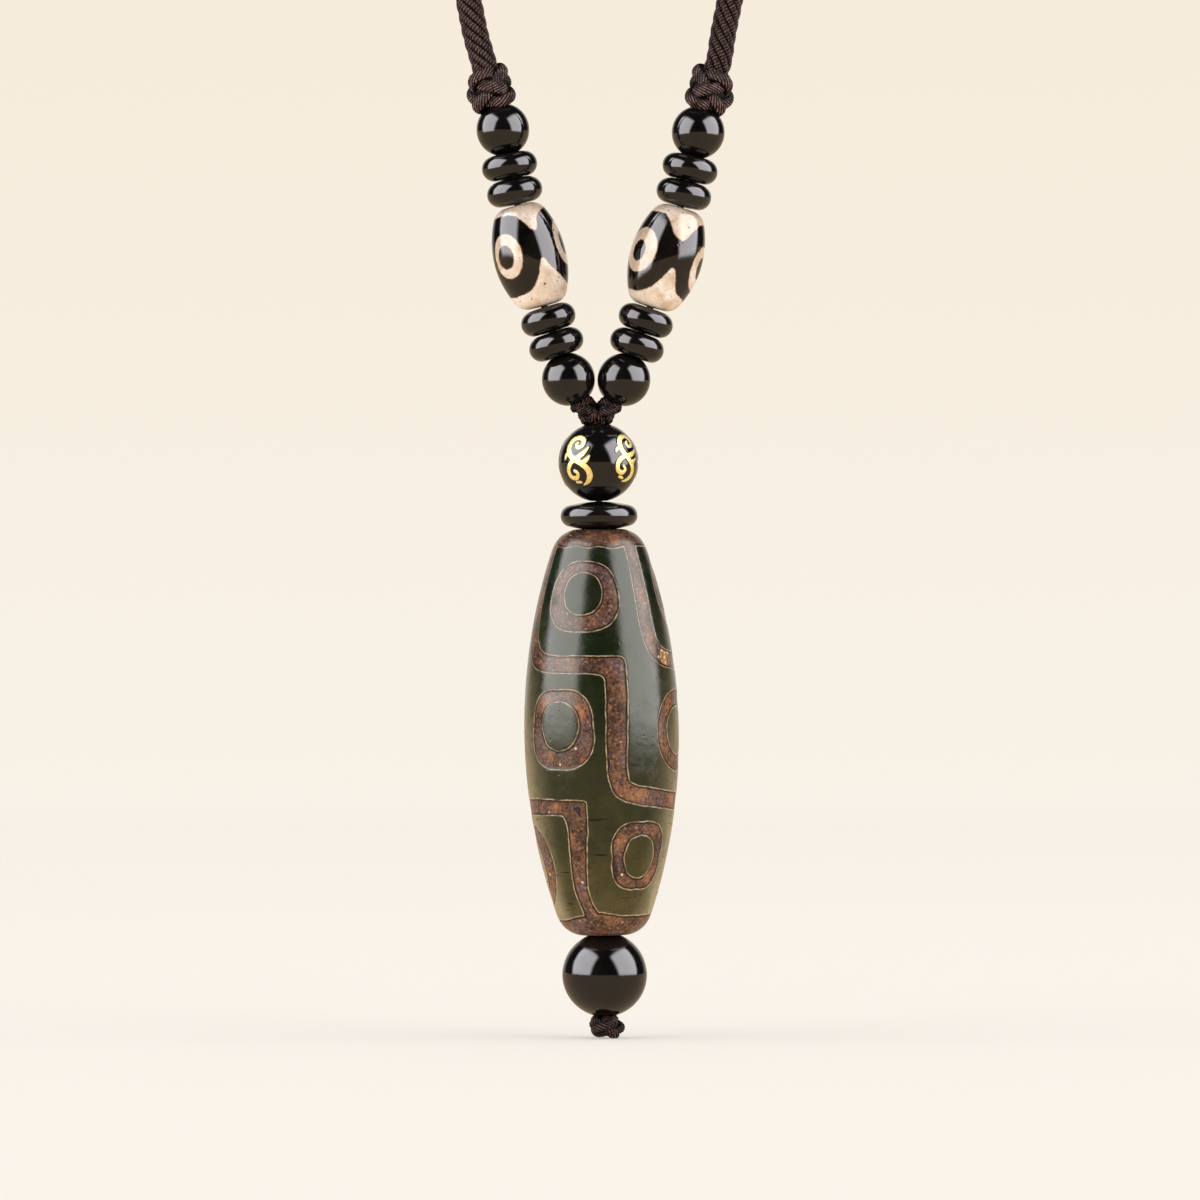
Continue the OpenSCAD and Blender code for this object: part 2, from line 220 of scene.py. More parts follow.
def hangSoftboxes():
    turn, rise = math.radians(studio["boxAzimuth"]), math.radians(studio["boxElevation"])
    for side in (-1, 1):
        way = Vector((side * math.sin(turn) * math.cos(rise), -math.cos(turn) * math.cos(rise),
                      math.sin(rise)))
        for kind, (radiance, matte, glossy) in studio["lamps"].items():
            bpy.ops.object.light_add(type="AREA", location=studio["aim"] + way * studio["boxDistance"])
            lamp = bpy.context.object
            lamp.name = f"softbox{kind}.{'right' if side > 0 else 'left'}"
            lamp.rotation_euler = way.to_track_quat("Z", "Y").to_euler()
            lamp.data.shape = "RECTANGLE"
            lamp.data.size, lamp.data.size_y = studio["boxWidth"], studio["boxHeight"]
            lamp.data.energy = radiance * math.pi * studio["boxWidth"] * studio["boxHeight"]
            lamp.data.color = studio["boxColour"]
            lamp.visible_camera = False
            lamp.visible_diffuse = matte
            lamp.visible_glossy = glossy
            softenLamp(lamp.data)


def buildWorld():
    world = bpy.data.worlds.new("softStudio")
    scene.world = world
    world.use_nodes = True
    tree = world.node_tree
    tree.nodes.clear()
    way = addNode(tree, "TexCoord", output="Generated")
    axes = addNode(tree, "SeparateXYZ", {0: way}, None)
    height = axes.outputs["Z"]
    upper = paint(tree, studio["aboveMirrored"], studio["behindMirrored"],
                  (axes.outputs["Y"], *studio["behind"]), (height, *studio["low"]))
    around = paint(tree, studio["belowMirrored"], upper, (height, *studio["horizon"]))
    matte = paint(tree, studio["fromBelow"], studio["ambient"], (height, *studio["horizon"]))
    backdrop = paint(tree, *studio["backdrop"], (height, *studio["backdropRise"]))
    path = addNode(tree, "LightPath", output=None)
    shown = addNode(tree, "Mix", {0: path.outputs["Is Diffuse Ray"], 6: around, 7: matte}, 2, **blend)
    shown = addNode(tree, "Mix", {0: path.outputs["Is Camera Ray"], 6: shown, 7: backdrop}, 2, **blend)
    light = addNode(tree, "Background", {"Color": shown})
    addNode(tree, "OutputWorld", {"Surface": light}, None)
    world.cycles.sampling_method = "NONE"  # so that each kind of ray finds its own side of the studio


buildFloor()
hangSoftboxes()
buildWorld()
print("floor, lights and world built")


# where the pieces are
def middleOf(node):
    low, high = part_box(node)
    return (low + high) / 2


def leaning(degrees):  # unit vector up a strand that leans this much to the right
    return Vector((math.sin(math.radians(degrees)), 0, math.cos(math.radians(degrees))))


strand = {  # stations along a side strand in mm and its tilt at foot and head, as in the part
    "stations": {"round_{}_low": 0.0, "disc_{}_4": 5.291, "disc_{}_3": 9.021, "barrel_{}": 18.461,
                 "disc_{}_2": 27.901, "disc_{}_1": 31.631, "round_{}_top": 36.922},
    "tilts": {"left": (20.0, 9.5), "right": (21.5, 12.0)},
    "pendantLean": -0.7, "upperKnotLean": 16.0,
    "upperKnotReach": 6.350, "junctionKnotReach": 5.074, "endKnotReach": 7.651,
}


def strandLean(side, station):
    low, high = strand["tilts"][side]
    tilt = low - (low - high) * station / strand["stations"]["round_{}_top"]
    return tilt if side == "right" else -tilt


def knotSeat(knot):
    side = "left" if "left" in knot else "right"
    if knot.startswith("upper"):
        lean = strand["upperKnotLean"] if side == "right" else -strand["upperKnotLean"]
        return middleOf(f"round_{side}_top") + leaning(lean) * strand["upperKnotReach"] * mm, lean
    if knot.startswith("junction"):
        reach = strand["junctionKnotReach"]
        way = leaning(strandLean(side, -reach / 2))
        return middleOf(f"round_{side}_low") - way * reach * mm, strandLean(side, -reach)
    lean = strand["pendantLean"]
    return middleOf("drop_bead") - leaning(lean) * strand["endKnotReach"] * mm, lean


def seatPiece(piece, place, lean, turn=0.0):
    # turn is about the piece's own axis, before it leans
    pick(piece)
    piece.matrix_world = (Matrix.Translation(place) @ Matrix.Rotation(math.radians(lean), 4, "Y")
                          @ Matrix.Rotation(math.radians(turn), 4, "Z"))
    bpy.ops.object.transform_apply(location=True, rotation=True, scale=True)


def handOver(piece, node, material):
    piece.data.materials.clear()
    piece.data.materials.append(material)
    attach(piece, "root")
    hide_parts(node)


# laid cord and thread
def cordMaterial(name, look):
    # waxed twisted fibre: dark, painted highlights along the crowns, fine yarn lines across each strand
    # painted shade darkens the grooves between strands and the gaps between yarns
    material, tree, _, noise = newMaterial(name, {"patches": (6, 3.0, 0.5), "fibres": (0.35, 4.0, 0.65),
                                                  "spread": (1.3, 2.0, 0.5)})
    fibres = noise["fibres"]
    uv = addNode(tree, "UVMap", uv_map="yarn")  # U counts the yarns
    yarns = addNode(tree, "TexWave", {"Vector": uv, "Scale": waveUnit, "Distortion": 1.2, "Detail": 2.0,
                                      "Detail Scale": 2.5}, "Fac", bands_direction="X")
    crown = addNode(tree, "Attribute", output="Fac", attribute_name="crown")
    base = addNode(tree, "ValToRGB", {0: noise["patches"]}, stops=[(0.3, look["dark"]), (0.7, look["mid"])])
    # painted highlight: the light colour laid on the yarn crests where a strand's crown faces out
    lit = paint(tree, base, look["light"], (yarns, *look["yarnSpan"]), (fibres, 0.35, 0.62),
                (crown, *look["highlightSpan"]), (noise["spread"], *look["patchSpan"]))
    yarnEdge = look["yarnSpan"][0]
    # painted shade between the yarns
    sunk = paint(tree, lit, look["grooveShade"], (yarns, yarnEdge, yarnEdge - 0.4))
    # painted shade down in the grooves between strands and on their shaded sides
    colour = paint(tree, sunk, look["grooveShade"], (crown, *look["shadeSpan"]))
    rough = addNode(tree, "MapRange", {0: fibres, 1: 0.2, 2: 0.8, 3: look["rough"] - 0.08,
                                       4: look["rough"] + 0.14})
    raised = addNode(tree, "Bump", {"Strength": look["yarnBump"], "Distance": look["yarnDepth"] * mm,
                                    "Height": yarns})
    fuzzy = addNode(tree, "Bump", {"Strength": 0.35, "Distance": 0.05 * mm, "Height": fibres,
                                   "Normal": raised})
    shader = addNode(tree, "BsdfPrincipled", {
        "Base Color": colour, "Roughness": rough, "Normal": fuzzy, "IOR": 1.5, "Specular IOR Level": 0.13,
        "Sheen Weight": look["sheen"], "Sheen Roughness": 0.4, "Sheen Tint": linear("#cbb5a8")})
    addNode(tree, "OutputMaterial", {"Surface": shader}, None)
    return material


# in each look the light colour is a painted highlight on the crests and the groove colour is painted shade
cordStuff = cordMaterial("waxedLaidNylon", {
    "dark": "#1b0f0d", "mid": "#291714", "light": "#73534c", "grooveShade": "#080302", "patchSpan": (-0.1, 0.5),
    "shadeSpan": (0.62, 0.20), "highlightSpan": (0.2, 0.7), "yarnSpan": (0.50, 0.90), "rough": 0.38,
    "sheen": 0.04, "yarnBump": 1.0, "yarnDepth": 0.16})
knotStuff = cordMaterial("waxedPliedNylon", {
    "dark": "#1b0d0c", "mid": "#2b1614", "light": "#c29a92", "grooveShade": "#070201", "patchSpan": (0.3, 0.6),
    "shadeSpan": (0.86, 0.58), "highlightSpan": (0.74, 0.98), "yarnSpan": (0.2, 0.6), "rough": 0.38,
    "sheen": 0.04, "yarnBump": 0.4, "yarnDepth": 0.04})
threadStuff = cordMaterial("waxedTwistedThread", {
    "dark": "#180a08", "mid": "#2a1310", "light": "#a2776c", "grooveShade": "#070201", "patchSpan": (0.34, 0.6),
    "shadeSpan": (0.86, 0.56), "highlightSpan": (0.76, 0.98), "yarnSpan": (0.2, 0.6), "rough": 0.42,
    "sheen": 0.04, "yarnBump": 0.4, "yarnDepth": 0.04})


def layStrands(path, outward, closed, lay):
    # strands side by side round an oval core; lay["pitch"] is negative for an S lay, and lay["fade"]
    # says how far round from the outer face the strands lie in shade
    up, side = framesAlong(path, outward, closed)
    length = np.linalg.norm(np.diff(path, axis=0), axis=1).sum()
    if closed:
        length += np.linalg.norm(path[0] - path[-1])
    turns = length / lay["pitch"]
    if closed:
        turns = round(turns)  # whole turns, so that each strand meets its own end
    share = np.arange(len(path)) / (len(path) - (0 if closed else 1))
    angles = np.linspace(0, 2 * math.pi, 361)
    oval = np.stack([lay["coreUp"] * np.cos(angles), lay["coreSide"] * np.sin(angles)], 1)
    walked = np.r_[0, np.cumsum(np.linalg.norm(np.diff(oval, axis=0), axis=1))]
    deep, clear = lay["fade"]
    strands = []
    for k in range(lay["count"]):
        part = (turns * share + k / lay["count"]) % 1.0
        phi = np.interp(part * walked[-1], walked, angles)[:, None]
        centre = path + lay["coreUp"] * np.cos(phi) * up + lay["coreSide"] * np.sin(phi) * side
        away = unitRows(np.cos(phi) / lay["coreUp"] * up + np.sin(phi) / lay["coreSide"] * side)
        strands.append((centre, away, np.clip(((away * up).sum(1) - deep) / (clear - deep), 0, 1)))
    return strands


def tubePiece(name, strands, radius, sides, closed, yarn):
    # yarn holds the spacing of the fine yarns in mm and how steeply they cross the strand
    vertices, faces, coords, crowns = [], [], [], []
    around = np.arange(sides) * 2 * math.pi / sides
    for centre, away, shade in strands:
        up, side = framesAlong(centre, away, closed)
        first = len(vertices)
        rings = (centre[:, None, :] + radius * (np.cos(around)[None, :, None] * up[:, None, :]
                                                + np.sin(around)[None, :, None] * side[:, None, :]))
        vertices.extend((rings.reshape(-1, 3) * mm).tolist())
        # the lay's fade lowers the crown on the strands' shaded sides, so the cord materials paint shade there
        crowns.extend((shade[:, None] * np.cos(around)[None, :]).ravel())
        along = np.r_[0, np.cumsum(np.linalg.norm(np.diff(centre, axis=0), axis=1))]
        if closed:
            along = np.r_[along, along[-1] + np.linalg.norm(centre[0] - centre[-1])]
        count = len(centre)
        for i in range(count if closed else count - 1):
            j = (i + 1) % count
            for k in range(sides):
                m = (k + 1) % sides
                faces.append((first + i * sides + k, first + i * sides + m,
                              first + j * sides + m, first + j * sides + k))
                for row, column in ((i, k), (i, k + 1), (i + 1, k + 1), (i + 1, k)):
                    arc = 2 * math.pi * radius * column / sides
                    coords.append(((arc - yarn["slope"] * along[row]) / yarn["spacing"], along[row]))
        if not closed:
            faces.append(tuple(first + k for k in reversed(range(sides))))
            faces.append(tuple(first + (count - 1) * sides + k for k in range(sides)))
            coords.extend([(0.0, 0.0)] * (2 * sides))
    mesh = bpy.data.meshes.new(name)
    mesh.from_pydata(vertices, [], faces)
    layer = mesh.uv_layers.new(name="yarn")
    layer.data.foreach_set("uv", np.array(coords, np.float32).ravel())
    piece = bpy.data.objects.new(name, mesh)
    scene.collection.objects.link(piece)
    # crown picks where the cord materials paint highlights (near 1) and shade (near 0)
    setAttribute(piece, "crown", np.array(crowns))  # 1 on the outer side of a strand, 0 down in the groove
    pick(piece)
    bpy.ops.object.shade_smooth()
    return piece


unshaded = (-3, -2)  # a fade that leaves all strands lit alike
neckCord = {  # the route's points in mm from the nape to the front, right half, as in the part
    "route": [(0, 2, 0), (15, 1, 0), (30, -4, -1), (43, -13, -4), (52, -26, -9), (57, -42, -16),
              (58, -59, -26), (56, -76, -38), (51, -91, -52), (45, -103, -68), (39, -111, -86),
              (33, -116, -105), (27.5, -119, -125), (23, -120, -145), (19.9, -120, -159),
              (18.6, -120, -165.5), (17.7, -120, -170)],
    "feet": (11.094, 9.394, 8.4),  # mm above the top round beads' centres; the last is inside the knot
    "neckMiddle": (0, -60),
    "lay": {"count": 7, "coreUp": 1.34, "coreSide": 1.34, "pitch": -13.0, "fade": unshaded},
    "strandRadius": 0.56, "sides": 10, "ringSpacing": 0.55,
    # a yarn each 0.41 mm along the strand; the real ones, about 0.35 mm apart, are too fine to show
    "yarn": {"spacing": 1.65, "slope": 4.0},
}


def buildNeckCord():
    feet = {}
    for side, lean in (("right", strand["upperKnotLean"]), ("left", -strand["upperKnotLean"])):
        feet[side] = [tuple((middleOf(f"round_{side}_top") + leaning(lean) * past * mm) / mm)
                      for past in neckCord["feet"]]
    route = neckCord["route"]
    points = feet["left"][::-1] + [(-x, y, z) for x, y, z in reversed(route[1:])] + route + feet["right"]
    path, length = smoothLine(points, neckCord["ringSpacing"])
    outward = np.stack([path[:, 0] - neckCord["neckMiddle"][0], path[:, 1] - neckCord["neckMiddle"][1],
                        np.zeros(len(path))], 1)
    strands = layStrands(path, outward, False, neckCord["lay"])
    piece = tubePiece("laidNeckCord", strands, neckCord["strandRadius"], neckCord["sides"], False,
                      neckCord["yarn"])
    handOver(piece, "neck_cord", cordStuff)
    print(f"neck cord laid, {length:.0f} mm along its middle")


buildNeckCord()


knots = {  # four passes round, three bights at each edge, laid on a barrel-like form; sizes in mm
    "upper": {"width": 7.4, "height": 6.5, "narrowing": 0.20, "strandWidth": 1.9, "strandThickness": 1.3,
              "plies": 9, "pitch": 4.6, "plyRadius": 0.22, "spacing": 0.19, "sides": 8, "unevenness": 0.18,
              "yarn": {"spacing": 0.2, "slope": -0.9}, "tip": 5, "turn": 20, "shift": (0, -0.25),
              "against": [("round_{}_top", 3.8)]},
    "junction": {"width": 3.8, "height": 4.7, "narrowing": 0.30, "strandWidth": 1.25, "strandThickness": 0.9,
                 "plies": 6, "pitch": 2.8, "plyRadius": 0.19, "spacing": 0.13, "sides": 7, "unevenness": 0.16,
                 "yarn": {"spacing": 0.14, "slope": -0.9}, "tip": 11, "turn": 50, "shift": (0.62, 0.38),
                 "against": [("round_{}_low", 3.8), ("scroll_bead", 5.65)]},
    "tail": {"radius": 0.8, "plies": 4, "plyRadius": 0.42, "pitch": 3.0, "spacing": 0.12, "sides": 10,
             "yarn": {"spacing": 0.14, "slope": -0.9}, "reach": (0.6, 0.4)},
    "end": {"width": 5.5, "height": 2.9, "narrowing": 0.32, "strandWidth": 1.3, "strandThickness": 1.0,
            "plies": 6, "pitch": 3.0, "plyRadius": 0.20, "spacing": 0.13, "sides": 7, "unevenness": 0.20,
            "yarn": {"spacing": 0.14, "slope": -0.9}, "tip": 7, "turn": 15, "shift": (-0.1, 0.3),
            "against": [("drop_bead", 6.05)]},
    "passes": 4, "bights": 3, "fade": (-0.25, 0.8),
    "clearance": 0.02,  # between a strand and the bead that it lies against
    "coreWidth": 0.33, "coreHeight": 0.38,  # the filling's half sizes, as shares of the knot's
}


def beadsBeside(size, node, place, lean, mirrored):
    # the beads that the knot lies against: their middles in mm in the knot's own frame, and their radii
    side = "left" if "left" in node else "right"
    found = []
    for pattern, radius in size["against"]:
        away = Matrix.Rotation(math.radians(-lean), 3, "Y") @ (middleOf(pattern.format(side)) - place) / mm
        found.append((np.array([-away.x if mirrored else away.x, away.y, away.z]), radius))
    return found


def knotPath(size, seed, beads):
    # the middle of the knot's one strand, and which way is out from it
    half = size["strandThickness"] / 2
    weave = 1.1 * half  # a little more than it takes to pass over another strand
    waist = size["width"] / 2 - weave - half
    rise = (size["height"] - size["strandWidth"]) / 2
    phase = np.linspace(0, 2 * math.pi * knots["bights"], 361)[:-1]
    turn = phase * knots["passes"] / knots["bights"] + math.radians(size["turn"])
    rng = np.random.default_rng(seed)
    out = weave * np.cos(3 * phase)
    lift = rise * np.sin(phase)
    for wave in (1, 2, 3, 4):  # a hand-tied knot is never quite even
        out += size["unevenness"] * rng.normal() * 0.5 * np.sin(wave * phase / 3 + rng.uniform(0, 6))
        lift += size["unevenness"] * rng.normal() * 0.6 * np.sin(wave * phase / 3 + rng.uniform(0, 6))
    level = waist * np.sqrt(1 - (1 - (1 - size["narrowing"]) ** 2) * np.clip(lift / rise, -1, 1) ** 2)
    slant = size["narrowing"] * lift / rise
    path = np.stack([(level + out) * np.cos(turn), (level + out) * np.sin(turn), lift + slant * out], 1)
    for bead, radius in beads:  # the strand hugs the beads next to it
        away = path - bead
        far = np.linalg.norm(away, axis=1, keepdims=True)
        path = bead + away / far * np.maximum(far, radius + half + knots["clearance"])
    path, _ = smoothLine(path, size["spacing"], closed=True)
    outward = unitRows(np.stack([path[:, 0], path[:, 1], np.zeros(len(path))], 1))
    outward[:, 2] = size["narrowing"] * 1.6 * path[:, 2] / rise
    return path, outward


def fillKnot(piece, size):
    # the cord's own body fills the middle, so that no light shows through
    bpy.ops.object.select_all(action="DESELECT")
    bpy.ops.mesh.primitive_uv_sphere_add(segments=32, ring_count=16, location=(0, 0, 0), radius=1 * mm)
    core = bpy.context.object
    width = size["width"] * knots["coreWidth"]
    core.scale = (width, width, size["height"] * knots["coreHeight"])
    bpy.ops.object.transform_apply(location=False, rotation=False, scale=True)
    bpy.ops.object.shade_smooth()
    # crown 0 paints the whole filling in the cord's painted groove shade colour
    setAttribute(core, "crown", np.zeros(len(core.data.vertices)))
    core.data.uv_layers[0].name = "yarn"
    piece.select_set(True)
    bpy.context.view_layer.objects.active = piece
    bpy.ops.object.join()


def addTail(piece, start, side):
    # the two ends of the strands run together into the bead below
    tail = knots["tail"]
    low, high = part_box("scroll_bead")
    mouth = np.array([(low[0] + high[0]) / 2, (low[1] + high[1]) / 2, high[2]]) / mm
    far, near = tail["reach"]
    points = [start, start * 0.45 + mouth * 0.55 + (side * far * 0.5, -0.2, 0.35),
              mouth + (side * near, -0.1, 0.35), mouth + (side * near * 0.8, 0, -0.25)]
    path, _ = smoothLine(points, tail["spacing"])
    core = tail["radius"] - tail["plyRadius"]
    lay = {"count": tail["plies"], "coreUp": core, "coreSide": core, "pitch": tail["pitch"], "fade": unshaded}
    strands = layStrands(path, np.tile((0.0, -1.0, 0.0), (len(path), 1)), False, lay)
    cord = tubePiece("tail", strands, tail["plyRadius"], tail["sides"], False, tail["yarn"])
    pick(piece)
    cord.select_set(True)
    bpy.ops.object.join()


def buildKnot(node, kind, name, material, mirrored, seed):
    size = knots[kind]
    place, lean = knotSeat(node)
    inward, up = size["shift"]
    place += Vector((inward if mirrored else -inward, 0, up)) * mm
    lean += -size["tip"] if mirrored else size["tip"]
    path, outward = knotPath(size, seed, beadsBeside(size, node, place, lean, mirrored))
    lay = {"count": size["plies"], "coreUp": size["strandThickness"] / 2 - size["plyRadius"],
           "coreSide": size["strandWidth"] / 2 - size["plyRadius"], "pitch": size["pitch"],
           "fade": knots["fade"]}
    piece = tubePiece(name, layStrands(path, outward, True, lay), size["plyRadius"], size["sides"], True,
                      size["yarn"])
    fillKnot(piece, size)
    if mirrored:
        pick(piece)
        bpy.ops.object.mode_set(mode="EDIT")
        bpy.ops.mesh.select_all(action="SELECT")
        bpy.ops.transform.mirror(constraint_axis=(True, False, False), center_override=(0, 0, 0))
        bpy.ops.mesh.normals_make_consistent(inside=False)
        bpy.ops.object.mode_set(mode="OBJECT")
    seatPiece(piece, place, lean)
    if kind == "junction":
        addTail(piece, np.array(place) / mm, -1 if mirrored else 1)
    handOver(piece, node, material)


for index, side in enumerate(("left", "right")):
    buildKnot(f"upper_knot_{side}", "upper", f"wovenUpperKnot.{side}", knotStuff, side == "left",
              11 + index)
    buildKnot(f"junction_knot_{side}", "junction", f"tiedJunctionKnot.{side}", threadStuff,
              side == "left", 21 + index)
buildKnot("end_knot", "end", "tiedEndKnot", threadStuff, False, 31)
print("knots tied")


# turned beads: a section in the plane of X and Z, from the foot to the head and back along the bore
def arcPoints(centreX, centreZ, radius, start, end, count):
    return [(centreX + radius * math.cos(a), centreZ + radius * math.sin(a))
            for a in np.linspace(start, end, count)]


def boreWall(section, bore, ease, count):
    # closes a section that runs from the foot to the head with a straight bore wall and eased mouths
    def eased(x, z, inward, shares):
        return [((1 - t) ** 2 * x + 2 * t * (1 - t) * bore + t * t * bore,
                 (1 - t) ** 2 * z + 2 * t * (1 - t) * z + t * t * (z + inward)) for t in shares]

    footZ, headZ = section[0][1], section[-1][1]
    wall = [(bore, z) for z in np.linspace(headZ - ease, footZ + ease, count)[1:-1]]
    return (section + eased(*section[-1], -ease, (0.33, 0.67, 1.0)) + wall
            + eased(*section[0], ease, (1.0, 0.67, 0.33)))


def ballSection(diameter, count=56, bore=1.0, ease=0.18):
    radius = diameter / 2
    reach = math.acos((bore + ease) / radius)
    return boreWall(arcPoints(0, 0, radius, -reach, reach, count), bore, ease, 8)


def discSection(diameter, thickness, count=44, bore=1.0, ease=0.12):
    ring, rim = (diameter - thickness) / 2, thickness / 2
    reach = math.acos((bore + ease - ring) / rim)
    return boreWall(arcPoints(ring, 0, rim, -reach, reach, count), bore, ease, 6)


def barrelSide(size):
    # the part's own barrel: an arc for the side, tangent arcs for the shoulders
    half, shoulder = size["length"] / 2, size["shoulder"]
    bulge = (size["diameter"] - size["endDiameter"]) / 2
    sideRadius = (half ** 2 + bulge ** 2) / (2 * bulge)
    sideX = size["diameter"] / 2 - sideRadius
    shoulderZ = half - shoulder
    shoulderX = sideX + math.sqrt((sideRadius - shoulder) ** 2 - shoulderZ ** 2)
    meet = math.asin(shoulderZ / (sideRadius - shoulder))
    return sideRadius, sideX, shoulderZ, shoulderX, meet


def barrelSection(size, sideCount, bore=1.0, ease=0.25):
    radius, sideX, shoulderZ, shoulderX, meet = barrelSide(size)
    half = size["length"] / 2
    side = arcPoints(sideX, 0, radius, -meet, meet, sideCount)
    head = arcPoints(shoulderX, shoulderZ, size["shoulder"], meet, math.pi / 2, size["shoulderCount"])[1:]
    if "dish" in size:  # a hollow in the end, where the next bead sits
        ball, dish = size["dishRadius"], size["dish"]
        mouth = math.sqrt(ball ** 2 - (ball - dish) ** 2)
        flat = [(x, half) for x in np.linspace(shoulderX, mouth + 0.15, 5)[1:]]
        top = flat + [(ball * math.sin(a), half - dish + ball - ball * math.cos(a))
                      for a in np.linspace(math.asin(mouth / ball) * 0.97,
                                           math.asin((bore + ease) / ball), 12)]
    else:
        top = [(x, half) for x in np.linspace(shoulderX, bore + ease, 6)[1:]]
    upperHalf = head + top
    lowerHalf = [(x, -z) for x, z in reversed(upperHalf)]
    return boreWall(lowerHalf + side + upperHalf, bore, ease, size["boreCount"])


def lensSection(diameter, thickness, rim, bore=1.0, ease=0.15):
    rimX = diameter / 2 - rim
    faceRadius = (rimX ** 2 + (thickness / 2) ** 2 - rim ** 2) / (thickness - 2 * rim)
    faceZ = thickness / 2 - faceRadius
    meet = math.asin(rimX / (faceRadius - rim))  # from the axis
    upperFace = [(faceRadius * math.sin(a), faceZ + faceRadius * math.cos(a))
                 for a in np.linspace(meet, math.asin((bore + ease) / faceRadius), 26)]
    rimArc = arcPoints(rimX, 0, rim, meet - math.pi / 2, math.pi / 2 - meet, 30)
    lowerFace = [(x, -z) for x, z in reversed(upperFace)]
    return boreWall(lowerFace[:-1] + rimArc + upperFace[1:], bore, ease, 6)


def turnBead(name, section, steps):
    bpy.ops.object.select_all(action="DESELECT")
    bpy.ops.mesh.primitive_circle_add(vertices=len(section), radius=1 * mm, location=(0, 0, 0))
    piece = bpy.context.object
    piece.name = name
    piece.data.name = name
    for vertex, (x, z) in zip(piece.data.vertices, section):
        vertex.co = (x * mm, 0, z * mm)
    bpy.ops.object.mode_set(mode="EDIT")
    bpy.ops.mesh.select_all(action="SELECT")
    bpy.ops.mesh.spin(steps=steps, angle=2 * math.pi, center=(0, 0, 0), axis=(0, 0, 1))
    bpy.ops.mesh.select_all(action="SELECT")
    bpy.ops.mesh.remove_doubles(threshold=0.00001)
    bpy.ops.mesh.normals_make_consistent(inside=False)
    bpy.ops.object.mode_set(mode="OBJECT")
    bpy.ops.object.shade_smooth()
    return piece


def meshPoints(piece):
    points = np.empty(len(piece.data.vertices) * 3, np.float32)
    piece.data.vertices.foreach_get("co", points)
    return points.reshape(-1, 3).astype(float) / mm


def setMeshPoints(piece, points):
    piece.data.vertices.foreach_set("co", (points * mm).astype(np.float32).ravel())
    piece.data.update()


def agateWorn(piece, seed, depth):
    # hand-ground stone isn't quite true: a few long low waves, in mm, that fade out at the bore
    points = meshPoints(piece)
    rng = np.random.default_rng(seed)
    swell = np.zeros(len(points))
    size = np.abs(points).max()
    for _ in range(7):
        way = rng.normal(size=3)
        way *= rng.uniform(1.2, 3.2) / (np.linalg.norm(way) * size)
        swell += np.sin(points @ way * 2 + rng.uniform(0, 6.3)) / 7
    radial = np.hypot(points[:, 0], points[:, 1])
    scale = 1 + depth * swell / np.maximum(radial, 1) * np.clip((radial - 1.3) / 1.0, 0, 1)
    points[:, :2] *= scale[:, None]
    setMeshPoints(piece, points)


def blackAgateMaterial():
    # polished black agate: near black, opaque, mirror-like with faint haze and a few fine pits
    material, tree, place, noise = newMaterial("polishedBlackAgate",
                                               {"clouds": (3, 3.0, 0.5), "haze": (0.8, 5.0, 0.6)})
    haze = noise["haze"]
    colour = addNode(tree, "ValToRGB", {0: noise["clouds"]}, stops=[(0.35, "#070606"), (0.75, "#12100f")])
    rough = addNode(tree, "MapRange", {0: haze, 1: 0.35, 2: 0.75, 3: 0.04, 4: 0.13})
    pits = addNode(tree, "TexVoronoi", {"Vector": place, "Scale": 1 / (1.1 * mm), "Randomness": 1.0})
    waves = addNode(tree, "Bump", {"Strength": 0.12, "Distance": 0.05 * mm, "Height": haze})
    dented = addNode(tree, "Bump", {"Strength": 0.25, "Distance": 0.02 * mm,
                                    "Height": whereAll(tree, (pits, 0.03, 0.09)), "Normal": waves})
    shader = addNode(tree, "BsdfPrincipled", {"Base Color": colour, "Roughness": rough, "Normal": dented,
                                              "IOR": 1.57})
    addNode(tree, "OutputMaterial", {"Surface": shader}, None)
    return material


blackAgate = blackAgateMaterial()
plainBeads = {
    "roundDiameter": 7.6, "discDiameter": 8.0, "discThickness": 3.6, "steps": 88, "unevenness": 0.05,
    "lens": {"diameter": 11.0, "thickness": 4.1, "rim": 1.55, "steps": 128, "unevenness": 0.04},
    "drop": {"diameter": 12.1, "count": 96, "steps": 144, "unevenness": 0.05},
}


def copyBead(source, name):
    pick(source)
    bpy.ops.object.duplicate(linked=False)
    copy = bpy.context.object
    copy.name = name
    copy.data.name = name
    return copy


def buildBlackBeads():
    ball = turnBead("ballPattern", ballSection(plainBeads["roundDiameter"]), plainBeads["steps"])
    disc = turnBead("discPattern", discSection(plainBeads["discDiameter"], plainBeads["discThickness"]),
                    plainBeads["steps"])
    seed = 40
    for side in ("left", "right"):
        for pattern, station in strand["stations"].items():
            if pattern.startswith("barrel"):
                continue
            node = pattern.format(side)
            form, source = ("Round", ball) if pattern.startswith("round") else ("Disc", disc)
            seed += 1
            copy = copyBead(source, f"black{form}Bead.{side}.{int(station):02d}")
            agateWorn(copy, seed, plainBeads["unevenness"])
            seatPiece(copy, middleOf(node), strandLean(side, station), seed * 37 % 360)
            handOver(copy, node, blackAgate)
    for pattern in (ball, disc):
        bpy.data.objects.remove(pattern)
    lens, drop = plainBeads["lens"], plainBeads["drop"]
    for name, node, section, size, seed in (
            ("blackLensBead", "centre_disc",
             lensSection(lens["diameter"], lens["thickness"], lens["rim"]), lens, 71),
            ("blackDropBead", "drop_bead", ballSection(drop["diameter"], drop["count"]), drop, 72)):
        piece = turnBead(name, section, size["steps"])
        agateWorn(piece, seed, size["unevenness"])
        seatPiece(piece, middleOf(node), strand["pendantLean"])
        handOver(piece, node, blackAgate)
    print("black beads turned")


buildBlackBeads()


